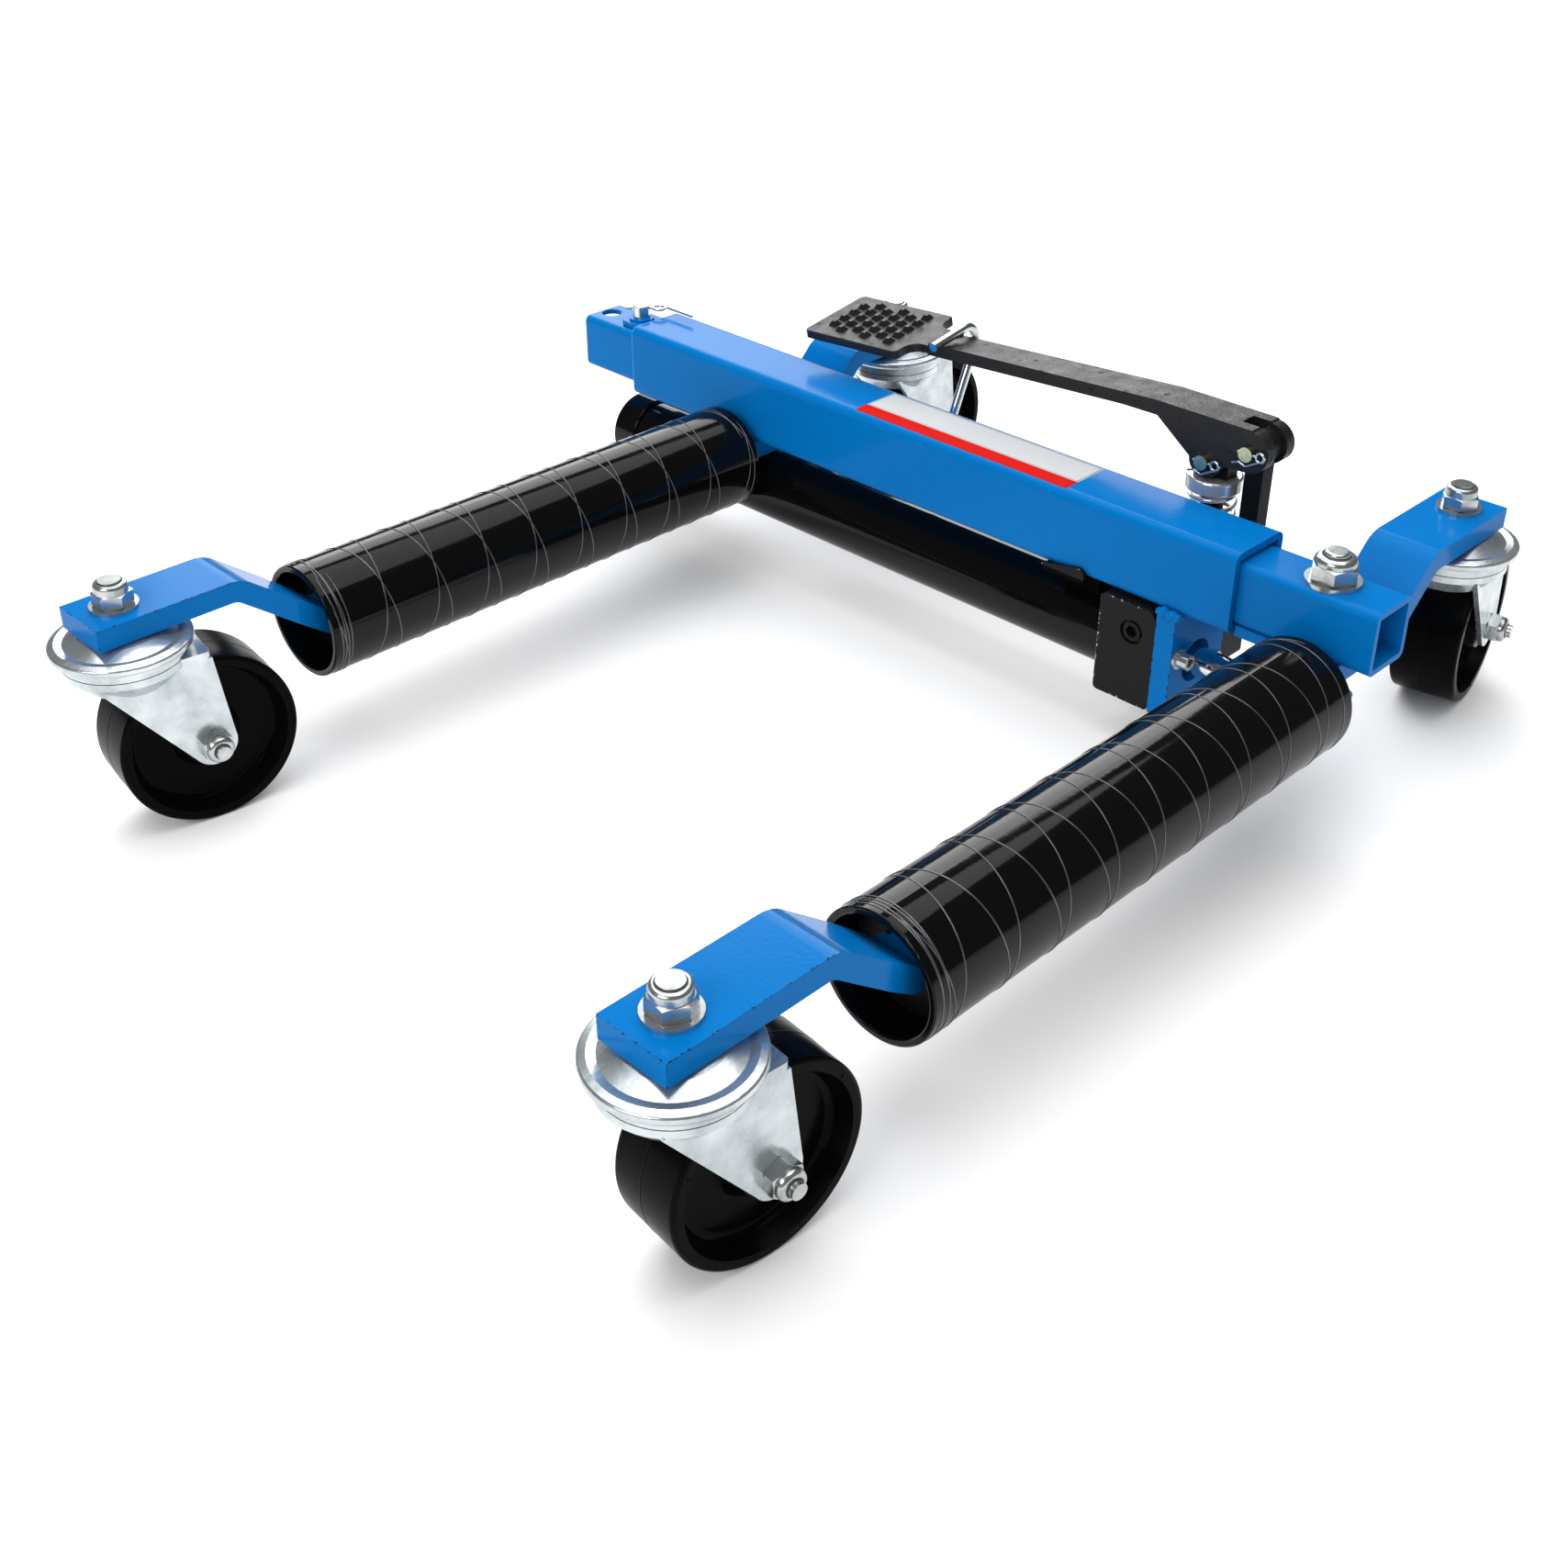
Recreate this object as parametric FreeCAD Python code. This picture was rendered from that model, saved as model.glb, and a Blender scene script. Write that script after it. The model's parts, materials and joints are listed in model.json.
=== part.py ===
import FreeCAD, Part
import math
import os

# Vehicle positioning jack, in millimetres. While it is modelled, x runs along the beam from the outer
# tube's left end, y runs back from the beam's front face and z is the height over the floor. At the
# end every piece moves by one shift, so that the origin is the middle of the footprint on the floor.
V = FreeCAD.Vector
X = V(1, 0, 0)
Y = V(0, 1, 0)
Z = V(0, 0, 1)

# Clearances and the overrun of every cutting tool.
CUT_OVERRUN = 2.0
SHAFT_CLEARANCE = 0.06
SLIDE_CLEARANCE = 0.4
SEAT_GAP = 0.3
EDGE_ROUND = 0.8
BRIM_ROUND = 1.6

# Beam: fixed outer tube and the inner tube that slides in it.
OUTER_LENGTH = 502.0
OUTER_HEIGHT = 50.0
OUTER_DEPTH = 47.0
OUTER_WALL = 4.5
OUTER_CORNER = 5.5
BEAM_UNDERSIDE = 97.6
TUBE_TOP_PLAY = 2.7
TUBE_BOTTOM_PLAY = 0.3
TUBE_SIDE_PLAY = 1.0
INNER_WALL = 3.5
INNER_CORNER = 4.5
INNER_LEFT_REACH = 57.6
INNER_RIGHT_REACH = 84.0

# Lock pin at the beam's left end, with its keeper and the two holes for it in the inner tube.
LOCK_HOLE_DIAMETER = 14.5
LOCK_HOLE_PITCH = 33.5
LOCK_PIN_DIAMETER = 12.0
LOCK_PIN_REACH = 15.5
LOCK_PIN_RISE = 9.0
KEEPER_WIDTH = 24.0
KEEPER_THICKNESS = 3.5
KEEPER_MARGIN = 10.5
KEEPER_WASHER_DIAMETER = 18.0
KEEPER_WASHER_THICKNESS = 1.7
LOCK_CLIP_RISE = 6.5
LOCK_CLIP_WIRE = 2.0
LOCK_CLIP_LEG = 30.0
LOCK_CLIP_STUB = 11.0
LOCK_CLIP_COIL_RADIUS = 4.5
LOCK_CLIP_TURN = 45.0

# Flat steel bars that carry casters and rollers.
BAR_THICKNESS = 12.5
BAR_WIDTH = 40.0
BAR_BEND_RADIUS = 9.0
BAR_END_MARGIN = 21.0
FRONT_KINGPIN_REACH = 117.0
LEFT_ARM_SHORTENING = 9.0
FRONT_BEND_REACH = 46.0
FRONT_BAR_INSERT = 20.0
FRONT_BAR_TIP_FLAT = 8.0
FRONT_BAR_TIP_WIDTH = 28.0
REAR_KINGPIN_REACH = 117.0
REAR_BEND_REACH = 56.0
REAR_FOOT_REACH = 17.5
RIGHT_BAR_SHIFT = -5.0
STOP_STRIP_THICKNESS = 6.0
STOP_STRIP_GAP = 1.5

# Rollers on their fixed shafts.
ROLLER_LENGTH = 337.0
ROLLER_DIAMETER = 68.0
ROLLER_WALL = 4.0
ROLLER_AXIS_HEIGHT = 85.0
ROLLER_END_PLAY = 1.0
ROLLER_END_ROUND = 1.2
LEFT_ROLLER_X = 103.0
RIGHT_ROLLER_REACH = 51.0
SHAFT_DIAMETER = 25.0
SHAFT_PLATE_THICKNESS = 6.0
SHAFT_PLATE_DROP = 19.0
BUSH_LENGTH = 25.0

# Swivel casters.
WHEEL_DIAMETER = 101.0
WHEEL_WIDTH = 40.0
WHEEL_SHOULDER = 2.2
WHEEL_RIM = 6.0
WHEEL_RECESS = 11.0
WHEEL_RECESS_SLOPE = 4.0
WHEEL_HUB_DIAMETER = 30.0
CASTER_TRAIL = 32.5
WHEEL_CROWN_GAP = 2.2
CROWN_THICKNESS = 4.0
CROWN_DIAMETER = 66.0
CROWN_NECK_DIAMETER = 50.0
CROWN_NECK_DROP = 9.0
RACE_GAP = 0.5
RACE_HEIGHT = 16.5
RACE_DIAMETER = 76.0
RACE_BOSS_DIAMETER = 44.0
FORK_SHEET = 3.0
FORK_SIDE_GAP = 1.4
FORK_FRONT_REACH = 24.0
FORK_REAR_REACH = 39.0
FORK_BOSS_DIAMETER = 26.0
AXLE_DIAMETER = 8.0
AXLE_TUBE_DIAMETER = 12.0
AXLE_HEAD_FLATS = 16.0
AXLE_HEAD_HEIGHT = 6.4
AXLE_NUT_HEX_HEIGHT = 6.5
AXLE_NUT_COLLAR_HEIGHT = 4.0
AXLE_TIP = 3.0
NUT_COLLAR_STEP = 0.3
KINGPIN_DIAMETER = 12.0
KINGPIN_HEAD_DIAMETER = 18.0
KINGPIN_HEAD_HEIGHT = 4.0
KINGPIN_TIP = 1.0
KING_NUT_FLATS = 19.0
KING_NUT_FLANGE = 26.0
KING_NUT_FLANGE_HEIGHT = 2.0
KING_NUT_HEX_HEIGHT = 7.5
KING_NUT_COLLAR_HEIGHT = 5.6
SWIVEL_ANGLES = {"left_front": -8.1, "left_rear": 3.0, "right_front": -5.3, "right_rear": 10.7}

# Pull cylinder under the beam, its ram and the bolt that ties the ram to the right arm.
CYLINDER_DIAMETER = 48.0
CYLINDER_WALL = 5.0
CYLINDER_TOP_GAP = 1.4
END_CAP_DIAMETER = 52.0
END_CAP_LENGTH = 22.0
END_CAP_SPIGOT = 12.0
PISTON_LENGTH = 25.0
PISTON_END_GAP = 6.0
RAM_DIAMETER = 18.0
RAM_EYE_LENGTH = 36.0
RAM_EYE_WIDTH = 30.0
RAM_EYE_HEIGHT = 24.0
GLAND_WALL = 4.0
ARM_BOLT_DIAMETER = 14.0
ARM_BOLT_HEAD_FLATS = 21.0
ARM_BOLT_HEAD_HEIGHT = 9.0
ARM_BOLT_TIP = 2.5
ARM_NUT_FLATS = 24.0
ARM_NUT_FLANGE = 31.0
ARM_NUT_FLANGE_HEIGHT = 2.5
ARM_NUT_HEX_HEIGHT = 9.0
ARM_NUT_COLLAR_HEIGHT = 5.0
SPACER_DIAMETER = 24.0
SADDLE_LENGTH = 31.0
SADDLE_LEFT_GAP = 13.5
SADDLE_LIP_THICKNESS = 3.0
SADDLE_LIP_RISE = 7.0
SADDLE_LIP_LOW_RISE = 1.0
SADDLE_WEB = 3.0
SADDLE_DEPTH = 20.0
SADDLE_CORNER = 4.5

# Valve block with the bracket plate that holds it under the beam.
BRACKET_INSET = 32.0
BRACKET_THICKNESS = 12.5
BRACKET_REAR_REACH = 4.0
BRACKET_HOLE_DIAMETER = 27.0
BLOCK_LENGTH = 39.5
BLOCK_HEIGHT = 65.0
BLOCK_TOP_GAP = 2.2
BLOCK_FRONT_REACH = 3.0
BLOCK_BACK_REACH = 49.0
BLOCK_CORNER = 3.0
BLOCK_ROUND = 8.0
PLUG_DIAMETER = 15.5
PLUG_HEAD_DIAMETER = 11.8
PLUG_GROOVE_DEPTH = 2.5
PLUG_DEPTH = 9.0
PLUG_DROP = 18.0
PLUG_INSET = 16.2
PLUG_SOCKET_FLATS = 7.0
PLUG_SOCKET_DEPTH = 5.0
SCREW_DIAMETER = 6.0
SCREW_HEAD_DIAMETER = 9.5
SCREW_HEAD_HEIGHT = 7.0
SCREW_SOCKET_FLATS = 5.0
SCREW_WASHER_DIAMETER = 13.0
SCREW_WASHER_THICKNESS = 1.5
SCREW_LENGTH = 22.0
SCREW_EDGE = 7.0
SCREW_OFFSET = 9.0
VALVE_SPINDLE_DIAMETER = 9.0
VALVE_SPINDLE_LENGTH = 28.0
VALVE_SPINDLE_SEAT = 16.0
VALVE_HEIGHT = 22.0
VALVE_KNOB_DIAMETER = 24.0
VALVE_KNOB_LENGTH = 11.0
VALVE_BAR_DIAMETER = 6.0
VALVE_BAR_LENGTH = 52.0

# Foot pump behind the beam.
PUMP_REACH = 28.0
PUMP_INSET = 20.6
PUMP_DIAMETER = 22.0
PUMP_RISE = 27.0
PUMP_SEAT = 20.0
PLUNGER_DIAMETER = 14.0
PLUNGER_PIN_RISE = 16.7
SPRING_CAP_DIAMETER = 34.0
SPRING_CAP_THICKNESS = 9.2
SPRING_CAP_DROP = 21.2
TONGUE_WIDTH = 23.0
SPRING_WIRE = 3.0
SPRING_DIAMETER = 27.0
SPRING_TURNS = 6
PIN_DIAMETER = 9.0
PIN_HEAD_DIAMETER = 12.5
PIN_HEAD_HEIGHT = 2.5
PIN_TIP = 4.4
PIN_SLOT_PLAY = 1.4
PIN_SLOT_LIFT = 0.6
CLIP_WIRE = 1.6
CLIP_COIL_RADIUS = 2.6

# Link and pedal lever.
FULCRUM_OFFSET = 28.5
FULCRUM_RISE = 30.7
LINK_THICKNESS = 11.0
LINK_WIDTH = 12.0
LINK_EYE_DIAMETER = 20.0
LINK_FOOT_DROP = 10.5
LUG_THICKNESS = 8.0
LUG_REACH = 18.0
LUG_HEIGHT = 22.0
CHEEK_THICKNESS = 8.0
LINK_ROOF_GAP = 1.6
CHEEK_BOSS_DIAMETER = 21.0
CHEEK_END_DIAMETER = 25.0
LEVER_CREASE_REACH = 37.0
LEVER_NECK_REACH = 214.4
LEVER_TOP_RISE = 44.2
LEVER_NECK_RISE = 31.5
LEVER_FLANGE = 8.0
LEVER_WIDTH = 26.0
LEVER_NECK_LENGTH = 14.0
LEVER_NECK_ROUND = 9.0
LEVER_RIB_WIDTH = 8.0
LEVER_RIB_DEPTH = 6.0
LEVER_RIB_END_SHARE = 0.4
PEDAL_LENGTH = 83.0
PEDAL_WIDTH = 60.0
PEDAL_THICKNESS = 5.5
PEDAL_CORNER = 4.0
PEDAL_CANT = 8.8
STUD_BASE = 6.6
STUD_HEIGHT = 3.0
STUD_TOP_SHARE = 0.4
STUD_PITCH = 10.6
STUD_ROW_PITCH = 9.7
STUD_COLUMNS = 6
STUD_ROWS = 5

# Pedal hook hung over the lever's neck, and the catch for its toe on the beam's back.
HOOK_WIRE = 6.0
HOOK_BEND = 11.0
HOOK_TOE_BEND = 7.0
HOOK_INSET = 12.0
HOOK_TOE_HEIGHT = 103.0
HOOK_TOE_GAP = 8.8
HOOK_TOE_LENGTH = 9.0
HOOK_BACK_REACH = 14.5
HOOK_FRONT_REACH = 9.4
HOOK_RISE = 8.5
CATCH_REACH = 5.5
CATCH_HEIGHT = 10.0
CATCH_LENGTH = 22.0
CATCH_LIFT = 4.0

# Heights, depths and lengths that follow from the sizes above.
BEAM_TOP = BEAM_UNDERSIDE + OUTER_HEIGHT
BEAM_MIDDLE = OUTER_DEPTH / 2
INNER_HEIGHT = OUTER_HEIGHT - 2 * OUTER_WALL - TUBE_TOP_PLAY - TUBE_BOTTOM_PLAY
INNER_DEPTH = OUTER_DEPTH - 2 * OUTER_WALL - 2 * TUBE_SIDE_PLAY
INNER_UNDERSIDE = BEAM_UNDERSIDE + OUTER_WALL + TUBE_BOTTOM_PLAY
INNER_TOP = INNER_UNDERSIDE + INNER_HEIGHT
INNER_FRONT = OUTER_WALL + TUBE_SIDE_PLAY
INNER_BACK = INNER_FRONT + INNER_DEPTH
INNER_RIGHT = OUTER_LENGTH + INNER_RIGHT_REACH
CROWN_UNDERSIDE = WHEEL_DIAMETER + WHEEL_CROWN_GAP
RACE_UNDERSIDE = CROWN_UNDERSIDE + CROWN_THICKNESS + RACE_GAP
BAR_UNDERSIDE = RACE_UNDERSIDE + RACE_HEIGHT
BAR_TOP = BAR_UNDERSIDE + BAR_THICKNESS
ROLLER_RADIUS = ROLLER_DIAMETER / 2
ROLLER_BORE_RADIUS = ROLLER_RADIUS - ROLLER_WALL
ROLLER_BACK = -SHAFT_PLATE_THICKNESS - ROLLER_END_PLAY
ROLLER_FRONT = ROLLER_BACK - ROLLER_LENGTH
SHAFT_FRONT = ROLLER_FRONT + FRONT_BAR_INSERT
RIGHT_FRONT_KINGPIN = ROLLER_FRONT - FRONT_KINGPIN_REACH
LEFT_FRONT_KINGPIN = RIGHT_FRONT_KINGPIN + LEFT_ARM_SHORTENING
REAR_KINGPIN = OUTER_DEPTH + REAR_KINGPIN_REACH
RIGHT_ROLLER_X = OUTER_LENGTH + RIGHT_ROLLER_REACH
RIGHT_BAR_X = RIGHT_ROLLER_X + RIGHT_BAR_SHIFT
CYLINDER_HEIGHT = BEAM_UNDERSIDE - BAR_THICKNESS - CYLINDER_TOP_GAP - CYLINDER_DIAMETER / 2
CYLINDER_BORE_RADIUS = CYLINDER_DIAMETER / 2 - CYLINDER_WALL
RAM_RADIUS = RAM_DIAMETER / 2
BRACKET_RIGHT = OUTER_LENGTH - BRACKET_INSET
BRACKET_LEFT = BRACKET_RIGHT - BRACKET_THICKNESS
BLOCK_LEFT = BRACKET_LEFT - BLOCK_LENGTH
BLOCK_TOP = BEAM_UNDERSIDE - BLOCK_TOP_GAP
BLOCK_BOTTOM = BLOCK_TOP - BLOCK_HEIGHT
BLOCK_BACK = OUTER_DEPTH + BLOCK_BACK_REACH
PUMP_X = BRACKET_LEFT - PUMP_INSET
PUMP_Y = OUTER_DEPTH + PUMP_REACH
PLUNGER_PIN_Z = BEAM_TOP + PLUNGER_PIN_RISE
SPRING_CAP_UNDERSIDE = PLUNGER_PIN_Z - SPRING_CAP_DROP
FULCRUM_X = PUMP_X + FULCRUM_OFFSET
FULCRUM_Z = BEAM_TOP + FULCRUM_RISE
LINK_FOOT_Z = BLOCK_TOP - LINK_FOOT_DROP
CHEEK_GAP = LINK_THICKNESS + 2 * SLIDE_CLEARANCE
LEVER_HALF_SPAN = CHEEK_GAP / 2 + CHEEK_THICKNESS
LEVER_TOP = BEAM_TOP + LEVER_TOP_RISE
CREASE_X = PUMP_X - LEVER_CREASE_REACH
NECK_X = PUMP_X - LEVER_NECK_REACH
NECK_TOP = BEAM_TOP + LEVER_NECK_RISE
LEVER_SLOPE = math.atan2(LEVER_TOP - NECK_TOP, CREASE_X - NECK_X)
LOCK_PIN_X = -LOCK_PIN_REACH
KEEPER_UNDERSIDE = INNER_TOP + SLIDE_CLEARANCE
KEEPER_TOP = KEEPER_UNDERSIDE + KEEPER_THICKNESS


def box(low, high):
    """Box between its lowest and highest corner."""
    size = high - low
    return Part.makeBox(size.x, size.y, size.z, low)


def rod(start, end, radius):
    """Round bar from one point to another."""
    run = end - start
    return Part.makeCylinder(radius, run.Length, start, run)


def pipe(start, end, outer_radius, inner_radius):
    """Round tube from one point to another."""
    run = end - start
    over = V(run).normalize() * CUT_OVERRUN
    return rod(start, end, outer_radius).cut(rod(start - over, end + over, inner_radius))


def edges_along(shape, axis):
    """Straight edges of a shape that run along an axis."""
    found = []
    for edge in shape.Edges:
        run = edge.Vertexes[-1].Point - edge.Vertexes[0].Point
        if edge.Curve.TypeId == "Part::GeomLine" and run.cross(axis).Length < run.Length / 1000:
            found.append(edge)
    return found


def prism(points, run):
    """Flat outline through the points, carried along a vector."""
    return Part.Face(Part.makePolygon(points + [points[0]])).extrude(run)


def hexagon(base, axis, flats, height):
    """Hexagonal bar that stands on its base point along an axis."""
    corner = flats / 2 / math.cos(math.pi / 6)
    turns = [math.pi / 3 * step for step in range(6)]
    outline = [V(corner * math.cos(turn), corner * math.sin(turn), 0) for turn in turns]
    bar = prism(outline, Z * height)
    bar.Placement = FreeCAD.Placement(base, FreeCAD.Rotation(Z, axis))
    return bar


def nut_hexagon(base, axis, flats, height):
    """Hexagonal bar whose corners are turned off at both ends."""
    flat = flats / 2
    corner = flat / math.cos(math.pi / 6)
    slope = (corner - flat) * math.tan(math.pi / 6)
    profile = [(0, 0), (flat, 0), (corner, slope), (corner, height - slope), (flat, height), (0, height)]
    return hexagon(base, axis, flats, height).common(revolved(profile, base, axis))


def revolved(profile, centre, axis):
    """Ring whose profile gives (radius, place along the axis) pairs."""
    points = [V(radius, 0, along) for radius, along in profile]
    ring = Part.Face(Part.makePolygon(points + [points[0]])).revolve(V(), Z, 360)
    ring.Placement = FreeCAD.Placement(centre, FreeCAD.Rotation(Z, axis))
    return ring


def collar_nut(base, axis, flats, hex_height, collar_height, bore_radius):
    """Lock nut with a round, domed collar for its insert, standing on its base along the axis."""
    top = base + axis * (hex_height + collar_height)
    collar_radius = flats / 2 - NUT_COLLAR_STEP
    dome_share = 0.75
    collar = rod(base, top, collar_radius)
    rim = max(collar.Edges, key=lambda edge: edge.CenterOfMass.dot(axis))
    nut = nut_hexagon(base, axis, flats, hex_height)
    nut = nut.fuse(collar.makeFillet((collar_radius - bore_radius) * dome_share, [rim]))
    nut = nut.cut(rod(base - axis * CUT_OVERRUN, top + axis * CUT_OVERRUN, bore_radius))
    return nut.removeSplitter()


def lock_nut(base, flats, flange, flange_height, hex_height, collar_height, bore_radius):
    """Lock nut with a round collar and a flange, standing on its flange."""
    hex_base = base + Z * flange_height
    nut = collar_nut(hex_base, Z, flats, hex_height, collar_height, bore_radius)
    return nut.fuse(pipe(base, hex_base, flange / 2, bore_radius)).removeSplitter()


def bent_bar(path, middle_x, width):
    """Flat bar of one thickness along a bent path of (y, z) points, with round bends."""
    middle = [V(middle_x - width / 2, y, z) for y, z in path]
    runs = [(after - before).normalize() for before, after in zip(middle, middle[1:])]
    sides = [X.cross(run) * (BAR_THICKNESS / 2) for run in runs]
    offsets = [sides[0]]
    for before, after in zip(sides, sides[1:]):
        mitre = before + after
        offsets.append(mitre * (2 * before.dot(before) / mitre.dot(mitre)))
    offsets.append(sides[-1])
    upper = [point + offset for point, offset in zip(middle, offsets)]
    lower = [point - offset for point, offset in zip(middle, offsets)]
    bar = prism(upper + lower[::-1], X * width)
    for before, after, high, low in zip(runs, runs[1:], upper[1:-1], lower[1:-1]):
        turns_up = before.cross(after).x > 0
        radii = (BAR_BEND_RADIUS, BAR_BEND_RADIUS + BAR_THICKNESS)
        upper_radius, lower_radius = radii if turns_up else radii[::-1]
        for corner, radius in ((high, upper_radius), (low, lower_radius)):
            across = Part.Vertex(corner + X * (width / 2))
            edge = min(edges_along(bar, X), key=lambda choice: choice.distToShape(across)[0])
            bar = bar.makeFillet(radius, [edge])
    return bar


def arc_through(start, start_run, end):
    """Circular arc that leaves a point along a direction and ends at another point."""
    chord = end - start
    half = chord / 2
    along = chord.dot(start_run)
    apex = start + start_run * (chord.dot(chord) / (2 * along))
    rise = apex - start - half
    bulge = half.Length * math.tan(math.atan2(rise.Length, half.Length) / 2)
    return Part.Arc(start, start + half + rise.normalize() * bulge, end).toShape()


def bent_rod(points, wire, bends):
    """Round wire through the points, with a round bend of its own at each inner point."""
    edges = []
    start = points[0]
    for before, corner, after, bend in zip(points, points[1:], points[2:], bends):
        run_in = (corner - before).normalize()
        run_out = (after - corner).normalize()
        turn = run_in.getAngle(run_out)
        trim = bend * math.tan(turn / 2)
        arc_start = corner - run_in * trim
        arc_end = corner + run_out * trim
        edges.append(Part.makeLine(start, arc_start))
        edges.append(arc_through(arc_start, run_in, arc_end))
        start = arc_end
    edges.append(Part.makeLine(start, points[-1]))
    first_run = (points[1] - points[0]).normalize()
    section = Part.Wire([Part.makeCircle(wire / 2, points[0], first_run)])
    return Part.Wire(edges).makePipeShell([section], True, False)


def square_tube(low, high, wall, corner):
    """Rectangular tube along x, with round corners outside and inside."""
    outside = box(low, high)
    outside = outside.makeFillet(corner, edges_along(outside, X))
    skin = V(0, wall, wall)
    over = X * CUT_OVERRUN
    inside = box(low + skin - over, high - skin + over)
    inside_corner = max(corner - wall, EDGE_ROUND)
    return outside.cut(inside.makeFillet(inside_corner, edges_along(inside, X)))


def outer_tube():
    """Outer beam tube, open at both ends."""
    return square_tube(
        V(0, 0, BEAM_UNDERSIDE), V(OUTER_LENGTH, OUTER_DEPTH, BEAM_TOP), OUTER_WALL, OUTER_CORNER
    )


def inner_tube():
    """Sliding beam tube with its lock holes and the bolt hole for the right arm."""
    tube = square_tube(
        V(-INNER_LEFT_REACH, INNER_FRONT, INNER_UNDERSIDE),
        V(INNER_RIGHT, INNER_BACK, INNER_TOP),
        INNER_WALL,
        INNER_CORNER,
    )
    over = Z * CUT_OVERRUN
    for along, diameter in (
        (LOCK_PIN_X, LOCK_HOLE_DIAMETER),
        (LOCK_PIN_X - LOCK_HOLE_PITCH, LOCK_HOLE_DIAMETER),
        (RIGHT_BAR_X, ARM_BOLT_DIAMETER + 2 * SHAFT_CLEARANCE),
    ):
        low = V(along, BEAM_MIDDLE, INNER_UNDERSIDE) - over
        tube = tube.cut(rod(low, V(along, BEAM_MIDDLE, INNER_TOP) + over, diameter / 2))
    return tube


def cross_bar(middle_x, seat):
    """Rear arm: runs under the beam, rises behind it and ends flat over the rear caster."""
    foot = seat - BAR_THICKNESS / 2
    head = BAR_TOP - BAR_THICKNESS / 2
    path = [
        (0, foot),
        (OUTER_DEPTH + REAR_FOOT_REACH, foot),
        (OUTER_DEPTH + REAR_BEND_REACH, head),
        (REAR_KINGPIN + BAR_END_MARGIN, head),
    ]
    bar = bent_bar(path, middle_x, BAR_WIDTH)
    return bar.cut(kingpin_hole(middle_x, REAR_KINGPIN))


def kingpin_hole(x, y):
    """Hole through a bar's flat end for the kingpin."""
    over = Z * CUT_OVERRUN
    radius = KINGPIN_DIAMETER / 2 + SHAFT_CLEARANCE
    return rod(V(x, y, BAR_UNDERSIDE) - over, V(x, y, BAR_TOP) + over, radius)


def right_cross_bar():
    """Right rear arm, with the hole for the bolt that ties it to the inner tube and the ram."""
    bar = cross_bar(RIGHT_BAR_X, INNER_UNDERSIDE)
    over = Z * (BAR_THICKNESS + CUT_OVERRUN)
    middle = V(RIGHT_BAR_X, BEAM_MIDDLE, INNER_UNDERSIDE)
    return bar.cut(rod(middle - over, middle + over, ARM_BOLT_DIAMETER / 2 + SHAFT_CLEARANCE))


def front_arm(roller_x, kingpin_y):
    """Front arm: flat over the front caster, slopes down and tapers into the roller's end."""
    head = BAR_TOP - BAR_THICKNESS / 2
    path = [
        (kingpin_y - BAR_END_MARGIN, head),
        (ROLLER_FRONT - FRONT_BEND_REACH, head),
        (SHAFT_FRONT - FRONT_BAR_TIP_FLAT, ROLLER_AXIS_HEIGHT),
        (SHAFT_FRONT, ROLLER_AXIS_HEIGHT),
    ]
    bar = bent_bar(path, roller_x, BAR_WIDTH).cut(kingpin_hole(roller_x, kingpin_y))
    taper_start = V(0, ROLLER_FRONT - BAR_THICKNESS, 0)
    tip = V(0, SHAFT_FRONT, 0)
    over = Y * CUT_OVERRUN
    for side in (-1, 1):
        full = X * (roller_x + side * BAR_WIDTH / 2)
        narrow = X * (roller_x + side * FRONT_BAR_TIP_WIDTH / 2)
        outline = [full + taper_start, narrow + tip, narrow + tip + over, full + tip + over]
        bar = bar.cut(prism(outline, Z * BAR_TOP))
    return bar


def roller_shaft(roller_x, bar_x, seat):
    """Fixed roller shaft on a plate that closes the cross bar's front end."""
    back = V(roller_x, -SHAFT_PLATE_THICKNESS, ROLLER_AXIS_HEIGHT)
    shaft = rod(V(roller_x, SHAFT_FRONT, ROLLER_AXIS_HEIGHT), back, SHAFT_DIAMETER / 2)
    left = min(roller_x, bar_x) - BAR_WIDTH / 2
    right = max(roller_x, bar_x) + BAR_WIDTH / 2
    plate = box(
        V(left, -SHAFT_PLATE_THICKNESS, ROLLER_AXIS_HEIGHT - SHAFT_PLATE_DROP), V(right, 0, seat)
    )
    return shaft.fuse(plate).removeSplitter()


def roller(roller_x):
    """Roller tube, open at its front end."""
    front = V(roller_x, ROLLER_FRONT, ROLLER_AXIS_HEIGHT)
    back = V(roller_x, ROLLER_BACK, ROLLER_AXIS_HEIGHT)
    tube = pipe(front, back, ROLLER_RADIUS, ROLLER_BORE_RADIUS)
    rims = [edge for edge in tube.Edges if edge.Curve.TypeId == "Part::GeomCircle"]
    return tube.makeFillet(ROLLER_END_ROUND, rims)


def roller_bushes(roller_x):
    """Plain bushes pressed into both ends of a roller."""
    bushes = []
    for low in (SHAFT_FRONT + ROLLER_END_PLAY, ROLLER_BACK - BUSH_LENGTH - ROLLER_END_ROUND):
        start = V(roller_x, low, ROLLER_AXIS_HEIGHT)
        inner = SHAFT_DIAMETER / 2 + SHAFT_CLEARANCE
        bushes.append(pipe(start, start + Y * BUSH_LENGTH, ROLLER_BORE_RADIUS, inner))
    return Part.makeCompound(bushes)


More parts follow.
